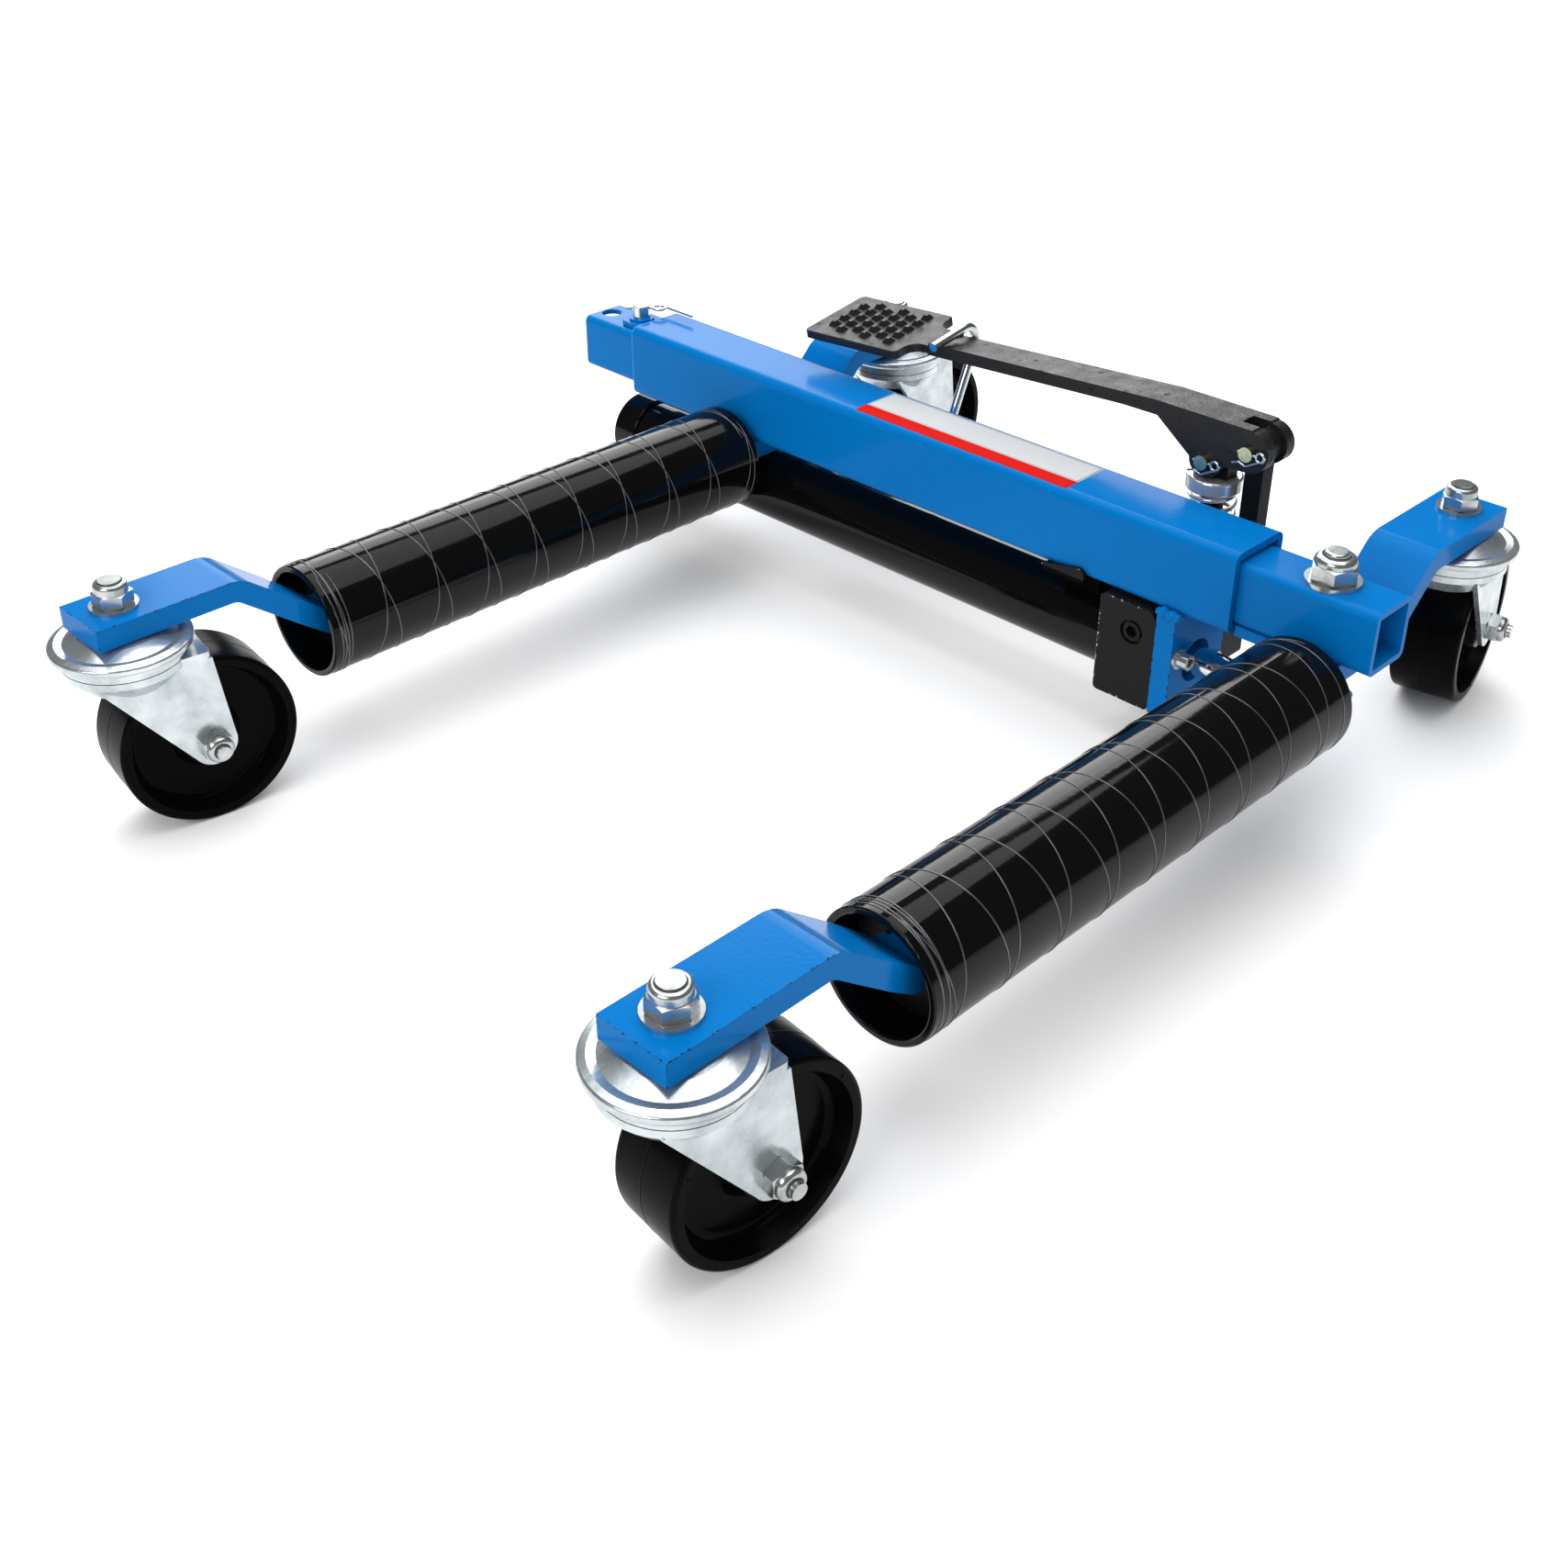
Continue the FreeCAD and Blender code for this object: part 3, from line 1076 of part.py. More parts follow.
def lever_pins():
    """Plunger pin and fulcrum pin of the pedal lever."""
    return Part.makeCompound([clevis_pin(place, LEVER_HALF_SPAN, -Y, X) for place in lever_pin_places()])


def lever_pin_clips():
    """Spring clips of the lever's two pins."""
    holes = [clip_centre(place, LEVER_HALF_SPAN, -Y) for place in lever_pin_places()]
    return Part.makeCompound([pin_clip(hole, X, -Z) for hole in holes])


def link_pin():
    """Pin of the link's foot in the valve block's lugs."""
    return clevis_pin(V(FULCRUM_X, PUMP_Y, LINK_FOOT_Z), CHEEK_GAP / 2 + LUG_THICKNESS, Y, Z)


def link_pin_clip():
    """Spring clip of the link's foot pin."""
    foot = V(FULCRUM_X, PUMP_Y, LINK_FOOT_Z)
    return pin_clip(clip_centre(foot, CHEEK_GAP / 2 + LUG_THICKNESS, Y), -Z, X)


def lever_cheek(near):
    """One side plate of the lever, round both pins and along the top."""
    pin = V(PUMP_X, near, PLUNGER_PIN_Z)
    fulcrum = V(FULCRUM_X, near, FULCRUM_Z)
    boss = CHEEK_BOSS_DIAMETER / 2
    end = CHEEK_END_DIAMETER / 2
    outline = [
        V(CREASE_X, near, LEVER_TOP),
        V(CREASE_X, near, LEVER_TOP - LEVER_FLANGE),
        pin - X * boss,
        pin + X * boss,
        fulcrum - Z * end,
        fulcrum + X * end,
        V(FULCRUM_X, near, LEVER_TOP),
    ]
    deep = Y * CHEEK_THICKNESS
    cheek = prism(outline, deep).fuse(rod(pin, pin + deep, boss))
    return cheek.fuse(rod(fulcrum, fulcrum + deep, end))


def lever_bar():
    """Sloping bar of the lever with its rib, tapering from the crease down to the pedal's neck."""
    crease_half = Y * LEVER_HALF_SPAN
    neck_half = Y * (LEVER_WIDTH / 2)
    crease = V(CREASE_X, PUMP_Y, LEVER_TOP)
    neck = V(NECK_X, PUMP_Y, NECK_TOP)
    drop = Z * LEVER_FLANGE
    corners = [crease - crease_half, crease + crease_half, neck + neck_half, neck - neck_half]
    bar = prism([corner - drop for corner in corners], drop)
    rib_half = Y * (LEVER_RIB_WIDTH / 2)
    rib_drop = drop + Z * LEVER_RIB_DEPTH
    rib_end = neck + (crease - neck) * LEVER_RIB_END_SHARE
    rib = prism(
        [crease - rib_half, crease - rib_half - rib_drop, rib_end - rib_half - drop, rib_end - rib_half],
        rib_half * 2,
    )
    return bar.fuse(rib)


def pedal_pad():
    """Foot plate with studs and a neck, flat at first, with the plate's right edge at the origin."""
    low = V(-PEDAL_LENGTH, -PEDAL_WIDTH / 2, -PEDAL_THICKNESS)
    pad = box(low, V(0, PEDAL_WIDTH / 2, 0))
    pad = pad.makeFillet(PEDAL_CORNER, edges_along(pad, Z))
    half = LEVER_WIDTH / 2
    neck_end = LEVER_NECK_LENGTH + LEVER_FLANGE
    neck = box(V(-PEDAL_CORNER, -half, -PEDAL_THICKNESS), V(neck_end, half, 0))
    pad = pad.fuse(neck).removeSplitter()
    inner = [edge for edge in edges_along(pad, Z) if abs(edge.BoundBox.XMin) < SEAT_GAP]
    inner = [edge for edge in inner if abs(edge.BoundBox.YMin) < half + SEAT_GAP]
    pad = pad.makeFillet(LEVER_NECK_ROUND, inner)
    rim = [edge for edge in pad.Edges if edge.BoundBox.ZMin > -SEAT_GAP]
    rim = [edge for edge in rim if edge.BoundBox.XMin < neck_end - SEAT_GAP]
    pad = pad.makeFillet(EDGE_ROUND, rim)
    studs = []
    for column in range(STUD_COLUMNS):
        along = (column - (STUD_COLUMNS - 1) / 2) * STUD_PITCH - PEDAL_LENGTH / 2
        rows = STUD_ROWS - (column + 1) % 2
        for row in range(rows):
            across = (row - (rows - 1) / 2) * STUD_ROW_PITCH
            studs.append(pedal_stud(V(along, across, 0), STUD_BASE / 2))
    return pad.fuse(studs)


def pedal_stud(foot, half):
    """Small four-sided stud on the pedal."""
    base = [V(-half, -half, 0), V(half, -half, 0), V(half, half, 0), V(-half, half, 0)]
    top = [point * STUD_TOP_SHARE + Z * STUD_HEIGHT for point in base]
    wires = []
    for ring in (base, top):
        corners = [foot + point for point in ring]
        wires.append(Part.makePolygon(corners + [corners[0]]))
    return Part.makeLoft(wires, True, True)


def pedal_lever():
    """Cast pedal lever: forked cheeks, sloping bar and canted pedal."""
    low_cheek = PUMP_Y - CHEEK_GAP / 2 - CHEEK_THICKNESS
    high_cheek = PUMP_Y + CHEEK_GAP / 2
    lever = lever_cheek(low_cheek).fuse(lever_cheek(high_cheek))
    roof = box(
        V(CREASE_X, low_cheek, LEVER_TOP - LEVER_FLANGE),
        V(FULCRUM_X - LINK_EYE_DIAMETER / 2 - LINK_ROOF_GAP, high_cheek + CHEEK_THICKNESS, LEVER_TOP),
    )
    lever = lever.fuse(roof).fuse(lever_bar())
    pad = pedal_pad()
    pad.rotate(V(), X, PEDAL_CANT)
    pad.rotate(V(), Y, -math.degrees(LEVER_SLOPE))
    pad.translate(V(NECK_X, PUMP_Y, NECK_TOP) - (X + Z * math.tan(LEVER_SLOPE)) * LEVER_NECK_LENGTH)
    lever = lever.fuse(pad)
    over = Y * (LEVER_HALF_SPAN + CUT_OVERRUN)
    for place in lever_pin_places():
        lever = lever.cut(rod(place - over, place + over, PIN_DIAMETER / 2 + SHAFT_CLEARANCE))
    return lever.removeSplitter()


def pedal_hook():
    """Wire hook over the lever's neck, with a toe that points at the catch behind the beam."""
    x = NECK_X + HOOK_INSET
    lever_top = NECK_TOP + HOOK_INSET * math.tan(LEVER_SLOPE)
    near = PUMP_Y - LEVER_WIDTH / 2
    front = near - HOOK_FRONT_REACH
    back = PUMP_Y + LEVER_WIDTH / 2 + HOOK_BACK_REACH
    tilt = math.atan2(HOOK_RISE, back - front)
    clear = (HOOK_WIRE / 2 + SEAT_GAP) / math.cos(tilt)
    over = lever_top + clear - HOOK_FRONT_REACH * math.tan(tilt)
    toe = OUTER_DEPTH + HOOK_TOE_GAP
    points = [
        V(x, toe, HOOK_TOE_HEIGHT),
        V(x, toe + HOOK_TOE_LENGTH, HOOK_TOE_HEIGHT),
        V(x, back, over + HOOK_RISE),
        V(x, front, over),
    ]
    return bent_rod(points, HOOK_WIRE, [HOOK_TOE_BEND, HOOK_BEND])


def hook_catch():
    """Catch on the beam's back face, above the hook's toe."""
    x = NECK_X + HOOK_INSET
    low = HOOK_TOE_HEIGHT + HOOK_WIRE / 2 + CATCH_LIFT
    catch = box(
        V(x - CATCH_LENGTH / 2, OUTER_DEPTH, low),
        V(x + CATCH_LENGTH / 2, OUTER_DEPTH + CATCH_REACH, low + CATCH_HEIGHT),
    )
    outside = [edge for edge in edges_along(catch, X) if edge.BoundBox.YMin > OUTER_DEPTH]
    return catch.makeFillet(EDGE_ROUND, outside)


def lock_keeper():
    """Keeper of the lock pin on the outer tube's left end, with its washer face."""
    half = KEEPER_WIDTH / 2
    left = LOCK_PIN_X - KEEPER_MARGIN
    keeper = box(V(left, BEAM_MIDDLE - half, KEEPER_UNDERSIDE), V(0, BEAM_MIDDLE + half, KEEPER_TOP))
    outside = [edge for edge in edges_along(keeper, Z) if edge.BoundBox.XMax < LOCK_PIN_X]
    keeper = keeper.makeFillet(KEEPER_MARGIN / 2, outside)
    seat = V(LOCK_PIN_X, BEAM_MIDDLE, KEEPER_TOP)
    top = seat + Z * KEEPER_WASHER_THICKNESS
    keeper = keeper.fuse(rod(seat, top, KEEPER_WASHER_DIAMETER / 2))
    over = Z * CUT_OVERRUN
    bore = rod(seat - Z * KEEPER_THICKNESS - over, top + over, LOCK_PIN_DIAMETER / 2 + SHAFT_CLEARANCE)
    return keeper.cut(bore).removeSplitter()


def lock_clip_height():
    """Height of the lock pin's cross hole."""
    return KEEPER_TOP + KEEPER_WASHER_THICKNESS + LOCK_CLIP_RISE


def lock_clip_run():
    """Direction of the lock pin's cross hole."""
    turn = math.radians(LOCK_CLIP_TURN)
    return V(math.cos(turn), math.sin(turn), 0)


def lock_pin():
    """Lock pin in its keeper, drawn just clear of the inner tube."""
    low = V(LOCK_PIN_X, BEAM_MIDDLE, INNER_TOP + SLIDE_CLEARANCE)
    high = V(LOCK_PIN_X, BEAM_MIDDLE, KEEPER_TOP + KEEPER_WASHER_THICKNESS + LOCK_PIN_RISE)
    pin = rod(low, high, LOCK_PIN_DIAMETER / 2)
    rims = [edge for edge in pin.Edges if edge.Curve.TypeId == "Part::GeomCircle"]
    pin = pin.makeFillet(EDGE_ROUND, rims)
    hole = V(LOCK_PIN_X, BEAM_MIDDLE, lock_clip_height())
    over = lock_clip_run() * LOCK_PIN_DIAMETER
    return pin.cut(rod(hole - over, hole + over, LOCK_CLIP_WIRE / 2 + SHAFT_CLEARANCE))


def lock_clip():
    """Spring clip of the lock pin: leg through the cross hole, coil and long leg over the outer tube."""
    hole = V(LOCK_PIN_X, BEAM_MIDDLE, lock_clip_height())
    run = lock_clip_run()
    wire = LOCK_CLIP_WIRE / 2
    coil = hole + run * (LOCK_PIN_DIAMETER / 2 + LOCK_CLIP_WIRE + LOCK_CLIP_COIL_RADIUS)
    clip = rod(hole - run * LOCK_CLIP_STUB, coil - run * LOCK_CLIP_COIL_RADIUS, wire)
    clip = clip.fuse(Part.makeTorus(LOCK_CLIP_COIL_RADIUS, wire, coil, Z))
    leg = coil + Y * LOCK_CLIP_COIL_RADIUS
    return clip.fuse(rod(leg, leg + X * LOCK_CLIP_LEG, wire)).removeSplitter()


def caster_places():
    """Kingpin places of the four casters, by name."""
    return {
        "left_front": V(LEFT_ROLLER_X, LEFT_FRONT_KINGPIN, 0),
        "left_rear": V(LEFT_ROLLER_X, REAR_KINGPIN, 0),
        "right_front": V(RIGHT_ROLLER_X, RIGHT_FRONT_KINGPIN, 0),
        "right_rear": V(RIGHT_BAR_X, REAR_KINGPIN, 0),
    }


def moved(shape, place, angle):
    """Copy of a shape turned about the vertical and carried to its place."""
    copy = shape.copy()
    copy.rotate(V(), Z, angle)
    copy.translate(place)
    return copy


def caster_nodes():
    """All pieces of the four casters. Kingpins and races stay with the arm that carries them."""
    nodes = {}
    fork, axle, wheel = caster_fork(), caster_axle(), caster_wheel()
    kingpin, race = caster_kingpin(), caster_race()
    for name, place in caster_places().items():
        angle = SWIVEL_ANGLES[name]
        nodes[name + "_fork"] = moved(fork, place, angle)
        nodes[name + "_axle_set"] = moved(axle, place, angle)
        nodes[name + "_wheel"] = moved(wheel, place, angle)
    for side in ("left", "right"):
        spots = [place for name, place in caster_places().items() if name.startswith(side)]
        nodes[side + "_kingpin_sets"] = Part.makeCompound([moved(kingpin, spot, 0) for spot in spots])
        nodes[side + "_caster_races"] = Part.makeCompound([moved(race, spot, 0) for spot in spots])
    return nodes


def build_nodes():
    """Every piece of the jack, by node name."""
    nodes = {
        "outer_tube": outer_tube(),
        "left_cross_bar": cross_bar(LEFT_ROLLER_X, BEAM_UNDERSIDE),
        "left_front_arm": front_arm(LEFT_ROLLER_X, LEFT_FRONT_KINGPIN),
        "left_roller_shaft": roller_shaft(LEFT_ROLLER_X, LEFT_ROLLER_X, BEAM_UNDERSIDE),
        "left_roller": roller(LEFT_ROLLER_X),
        "left_roller_bushes": roller_bushes(LEFT_ROLLER_X),
        "cylinder_tube": cylinder_tube(),
        "cylinder_end_cap": cylinder_end_cap(),
        "cylinder_saddle": cylinder_saddle(),
        "ram_gland": ram_gland(),
        "valve_block": valve_block(),
        "block_plug": block_plug(),
        "ram_bracket": ram_bracket(),
        "bracket_screws": bracket_screws(),
        "release_valve": release_valve(),
        "pump_cylinder": pump_cylinder(),
        "pump_plunger": plunger(),
        "spring_cap": spring_cap(),
        "return_spring": return_spring(),
        "pedal_link": pedal_link(),
        "link_pin": link_pin(),
        "link_pin_clip": link_pin_clip(),
        "pedal_lever": pedal_lever(),
        "lever_pins": lever_pins(),
        "lever_pin_clips": lever_pin_clips(),
        "pedal_hook": pedal_hook(),
        "hook_catch": hook_catch(),
        "lock_keeper": lock_keeper(),
        "lock_pin": lock_pin(),
        "lock_clip": lock_clip(),
        "inner_tube": inner_tube(),
        "stop_strip": stop_strip(),
        "ram_rod": ram_rod(),
        "piston": piston(),
        "ram_spacer": ram_spacer(),
        "arm_bolt": arm_bolt(),
        "arm_nut": arm_nut(),
        "right_cross_bar": right_cross_bar(),
        "right_front_arm": front_arm(RIGHT_ROLLER_X, RIGHT_FRONT_KINGPIN),
        "right_roller_shaft": roller_shaft(RIGHT_ROLLER_X, RIGHT_BAR_X, INNER_UNDERSIDE),
        "right_roller": roller(RIGHT_ROLLER_X),
        "right_roller_bushes": roller_bushes(RIGHT_ROLLER_X),
    }
    nodes.update(caster_nodes())
    return nodes


def export_nodes():
    """Write every node, shifted so that the origin is the footprint's middle on the floor."""
    nodes = build_nodes()
    span = FreeCAD.BoundBox()
    for shape in nodes.values():
        span.add(shape.optimalBoundingBox(False))
    shift = V(-span.Center.x, -span.Center.y, -span.ZMin)
    print("shift to the footprint's middle: %.4f %.4f %.4f" % (shift.x, shift.y, shift.z))
    print("size: %.2f %.2f %.2f" % (span.XLength, span.YLength, span.ZLength))
    os.makedirs("parts", exist_ok=True)
    for name, shape in nodes.items():
        shape.translate(shift)
        shape.exportStep("parts/" + name + ".step")


export_nodes()
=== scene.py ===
import json
import math

import bmesh
import bpy
import numpy as np
from mathutils import Matrix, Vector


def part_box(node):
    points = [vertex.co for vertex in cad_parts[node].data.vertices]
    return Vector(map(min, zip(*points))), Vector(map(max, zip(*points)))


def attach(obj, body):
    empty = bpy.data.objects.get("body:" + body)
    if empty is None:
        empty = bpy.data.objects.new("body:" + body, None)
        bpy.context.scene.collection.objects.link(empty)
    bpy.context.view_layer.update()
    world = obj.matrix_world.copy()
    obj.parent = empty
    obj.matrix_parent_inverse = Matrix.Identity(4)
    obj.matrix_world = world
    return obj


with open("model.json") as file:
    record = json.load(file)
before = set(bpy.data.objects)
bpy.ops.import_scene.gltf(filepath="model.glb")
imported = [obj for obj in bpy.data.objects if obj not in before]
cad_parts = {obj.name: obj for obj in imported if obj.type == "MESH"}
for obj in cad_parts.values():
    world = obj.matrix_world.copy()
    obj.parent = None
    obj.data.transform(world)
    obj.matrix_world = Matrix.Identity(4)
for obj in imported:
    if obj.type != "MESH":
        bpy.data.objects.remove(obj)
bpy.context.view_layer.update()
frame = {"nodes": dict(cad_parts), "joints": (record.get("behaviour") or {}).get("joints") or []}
nodes = frame["nodes"]

# Camera of the photograph: above the front of the right roller, looking down and across the jack.
# Its place, turn and focal length were fitted to the beam, the rollers and the wheels. Places on
# the jack are millimetres from the outer tube's left end and front face, and from the floor.
beam_low, beam_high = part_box("outer_tube")


def on_jack(places):
    """Metres in the frame, from millimetres on the jack.

    They run along and behind the outer tube's left front end, and up from the floor.
    """
    return np.asarray(places, float) / 1000 + np.array((beam_low.x, beam_low.y, 0.0))


photo_side = 1708
focal_pixels = 2062.05
centre_pixels = (862.50, 713.34)
sensor_width = 36
view = bpy.data.cameras.new("photo_camera")
view.sensor_width = sensor_width
view.lens = sensor_width * focal_pixels / photo_side
view.shift_x = (photo_side / 2 - centre_pixels[0]) / photo_side
view.shift_y = (centre_pixels[1] - photo_side / 2) / photo_side
view.clip_start, view.clip_end = 0.05, 50
camera = bpy.data.objects.new("photo_camera", view)
camera_axes = Matrix((
    (0.709679, -0.353489, 0.609427),
    (0.704521, 0.352896, -0.615723),
    (0.002587, 0.866319, 0.499484),
))
camera_place = on_jack((977.497, -825.422, 615.839))
camera.matrix_world = Matrix.Translation(camera_place.tolist()) @ camera_axes.to_4x4()
bpy.context.scene.collection.objects.link(camera)
bpy.context.scene.camera = camera
bpy.context.scene.view_settings.view_transform = "Standard"

# Studio: a pale floor that runs far past the jack, a bright even surround and three soft boxes.
# The large box behind on the left is what the beam's top and the rollers' upper sides mirror; as
# in a tent with black flags, the surround is much darker in mirrored light than to the eye.
floor_half = 6
floor_pale, floor_mirrored = (0.95, 0.95, 0.95), (0.8, 0.8, 0.8)
surround_strength, surround_mirrored = 0.55, 0.10
merge_reach = 1e-6


def sheets_mesh(name, sheets):
    """One smooth mesh from grids of points (rows x columns x 3), with quads between neighbours.

    Points that meet at seams and poles are merged.
    """
    points, quads, start = [], [], 0
    for sheet in sheets:
        rows, columns = sheet.shape[:2]
        index = start + np.arange(rows * columns).reshape(rows, columns)
        corners = [index[:-1, :-1], index[1:, :-1], index[1:, 1:], index[:-1, 1:]]
        quads.append(np.stack(corners, axis=-1).reshape(-1, 4))
        points.append(sheet.reshape(-1, 3))
        start += rows * columns
    mesh = bpy.data.meshes.new(name)
    mesh.from_pydata(np.concatenate(points).tolist(), [], np.concatenate(quads).tolist())
    shape = bmesh.new()
    shape.from_mesh(mesh)
    bmesh.ops.remove_doubles(shape, verts=shape.verts, dist=merge_reach)
    shape.to_mesh(mesh)
    shape.free()
    mesh.polygons.foreach_set("use_smooth", np.ones(len(mesh.polygons), bool))
    mesh.update()
    piece = bpy.data.objects.new(name, mesh)
    bpy.context.scene.collection.objects.link(piece)
    return piece


def place_node(tree, kind, inputs=None, **settings):
    """One shader node with its settings; an input is a plain value or another node's output."""
    made = tree.nodes.new(kind)
    for name, value in settings.items():
        setattr(made, name, value)
    for key, value in (inputs or {}).items():
        if isinstance(value, bpy.types.NodeSocket):
            tree.links.new(value, made.inputs[key])
        else:
            made.inputs[key].default_value = value
    return made


def blank_material(name, **plain):
    """Material, its tree and its Principled shader, whose plain sockets are set."""
    material = bpy.data.materials.new(name)
    material.use_nodes = True
    shader = material.node_tree.nodes["Principled BSDF"]
    for key, value in plain.items():
        shader.inputs[key.replace("_", " ")].default_value = value
    return material, material.node_tree, shader


def feed(tree, source, target, key):
    """Link from an output to a named input."""
    tree.links.new(source, target.inputs[key])


def blend(tree, share, first, second):
    """Colour that goes from the first to the second with the share; gives the output."""
    ends = [(*colour, 1) if isinstance(colour, tuple) else colour for colour in (first, second)]
    mix = {0: share, 6: ends[0], 7: ends[1]}
    return place_node(tree, "ShaderNodeMix", mix, data_type="RGBA").outputs[2]


def ramp(tree, value, start, end, low, high):
    """Value that goes from low to high as another goes from start to end; gives the output."""
    span = {"Value": value, "From Min": start, "From Max": end, "To Min": low, "To Max": high}
    return place_node(tree, "ShaderNodeMapRange", span).outputs[0]


floor_reach = np.linspace(-floor_half, floor_half, 3)
floor_grid = np.stack(np.meshgrid(floor_reach, floor_reach, [0.0], indexing="ij"), axis=-1)[:, :, 0]
floor = sheets_mesh("studio_floor", [floor_grid])
floor_material, floor_tree, floor_shader = blank_material(
    "pale_floor", Roughness=0.8, Specular_IOR_Level=0.1
)
# For mirrored rays the floor's colour is painted darker than it is to the eye: a painted reflection,
# as with the surround.
floor_ray = place_node(floor_tree, "ShaderNodeLightPath").outputs["Is Glossy Ray"]
floor_colour = blend(floor_tree, floor_ray, floor_pale, floor_mirrored)
feed(floor_tree, floor_colour, floor_shader, "Base Color")
floor.data.materials.append(floor_material)

surround = bpy.data.worlds.new("studio_surround")
surround.use_nodes = True
surround_tree = surround.node_tree
surround_glow = surround_tree.nodes["Background"]
surround_glow.inputs["Color"].default_value = (1, 1, 1, 1)
surround_ray = place_node(surround_tree, "ShaderNodeLightPath").outputs["Is Glossy Ray"]
surround_level = ramp(surround_tree, surround_ray, 0, 1, surround_strength, surround_mirrored)
feed(surround_tree, surround_level, surround_glow, "Strength")
bpy.context.scene.world = surround

for name, place, aim, size, power in (
    ("overhead_box", (-0.2, 0.2, 2.6), (0, 0, 0.0), (3.2, 3.2), 68),
    ("back_box", (-1.9, 1.7, 1.5), (0, 0, 0.1), (2.4, 1.6), 50),
    ("front_box", (0.4, -2.4, 1.6), (0, -0.1, 0.05), (1.6, 1.0), 28),
):
    lamp = bpy.data.lights.new(name, "AREA")
    lamp.shape = "RECTANGLE"
    lamp.size, lamp.size_y = size
    lamp.energy = power
    box = bpy.data.objects.new(name, lamp)
    away = np.array(place, float) - np.array(aim, float)
    away /= np.linalg.norm(away)
    level = np.cross((0, 0, 1), away)
    level /= np.linalg.norm(level)
    turn = Matrix(np.stack([level, np.cross(away, level), away], axis=1).tolist())
    box.matrix_world = Matrix.Translation(place) @ turn.to_4x4()
    bpy.context.scene.collection.objects.link(box)

# Beam and arms: square tube, flat bar and plate, welded up and sprayed with a gloss blue.
# The paint has a slight orange peel, drifts a little in shade and has a few dark specks in it;
# along the edges of the front arms and the bracket plate it is chipped down to dark primer.
blue_shades = [(0.001, 0.158, 0.465), (0.001, 0.132, 0.42), (0.004, 0.02, 0.06)]
blue_chip_reach, blue_chip_primer = 0.0008, (0.012, 0.018, 0.028)


def new_group(name, inputs, outputs):
    """Empty shader node group; inputs are (name, start value) and every output is a plain value."""
    tree = bpy.data.node_groups.new(name, "ShaderNodeTree")
    for label, value in inputs:
        kind = "NodeSocketVector" if isinstance(value, tuple) else "NodeSocketFloat"
        tree.interface.new_socket(label, in_out="INPUT", socket_type=kind).default_value = value
    for label in outputs:
        tree.interface.new_socket(label, in_out="OUTPUT", socket_type="NodeSocketFloat")
    return tree, tree.nodes.new("NodeGroupInput"), tree.nodes.new("NodeGroupOutput")


def work(tree, operation, first, second):
    """Two values joined by the operation of a Math node; gives the output."""
    return place_node(tree, "ShaderNodeMath", {0: first, 1: second}, operation=operation).outputs[0]


def vector_work(tree, operation, first, second):
    """Two vectors joined by the operation of a Vector Math node; gives the output."""
    ends = {0: first, 1: second}
    return place_node(tree, "ShaderNodeVectorMath", ends, operation=operation).outputs[0]


def object_place(tree):
    """Place on the piece, in metres of the shared frame; gives the output."""
    return place_node(tree, "ShaderNodeTexCoord").outputs["Object"]


def noise(tree, place, scale, detail, **more):
    """Soft noise value at a place; gives the output."""
    grain = {"Vector": place, "Scale": scale, "Detail": detail, **more}
    return place_node(tree, "ShaderNodeTexNoise", grain).outputs["Fac"]


def clouded(tree, cloud, low, high):
    """Value that goes from low to high over the usual range of a noise; gives the output."""
    return ramp(tree, cloud, start=0.3, end=0.7, low=low, high=high)


def sparse_dots(tree, place, scale, share, core, rim):
    """Round dots in a share of a Voronoi pattern's cells, which fade from core to rim."""
    cells = place_node(tree, "ShaderNodeTexVoronoi", {"Vector": place, "Scale": scale})
    pick = place_node(tree, "ShaderNodeSeparateColor", {0: cells.outputs["Color"]}).outputs[0]
    rare = work(tree, "LESS_THAN", pick, share)
    round_dot = ramp(tree, cells.outputs["Distance"], start=core, end=rim, low=1.0, high=0.0)
    return work(tree, "MULTIPLY", rare, round_dot)


def bump_normal(tree, shader, height, strength, depth):
    """Bump from a height value, fed to the shader's normal."""
    relief = {"Strength": strength, "Distance": depth, "Height": height}
    feed(tree, place_node(tree, "ShaderNodeBump", relief).outputs["Normal"], shader, "Normal")


def sprayed_paint_group():
    """Orange peel height, sparse specks and a soft cloudy value, all from noise on the piece."""
    tree, given, out = new_group(
        "sprayed_paint",
        [("Peel Scale", 420.0), ("Speck Scale", 70.0), ("Speck Share", 0.07)],
        ["Height", "Specks", "Cloud"],
    )
    place = object_place(tree)
    peel = noise(tree, place, given.outputs["Peel Scale"], detail=2.0)
    speck_cells = given.outputs["Speck Scale"], given.outputs["Speck Share"]
    feed(tree, peel, out, "Height")
    feed(tree, sparse_dots(tree, place, *speck_cells, core=0.02, rim=0.05), out, "Specks")
    feed(tree, noise(tree, place, scale=14.0, detail=3.0), out, "Cloud")
    return tree


sprayed_paint = sprayed_paint_group()


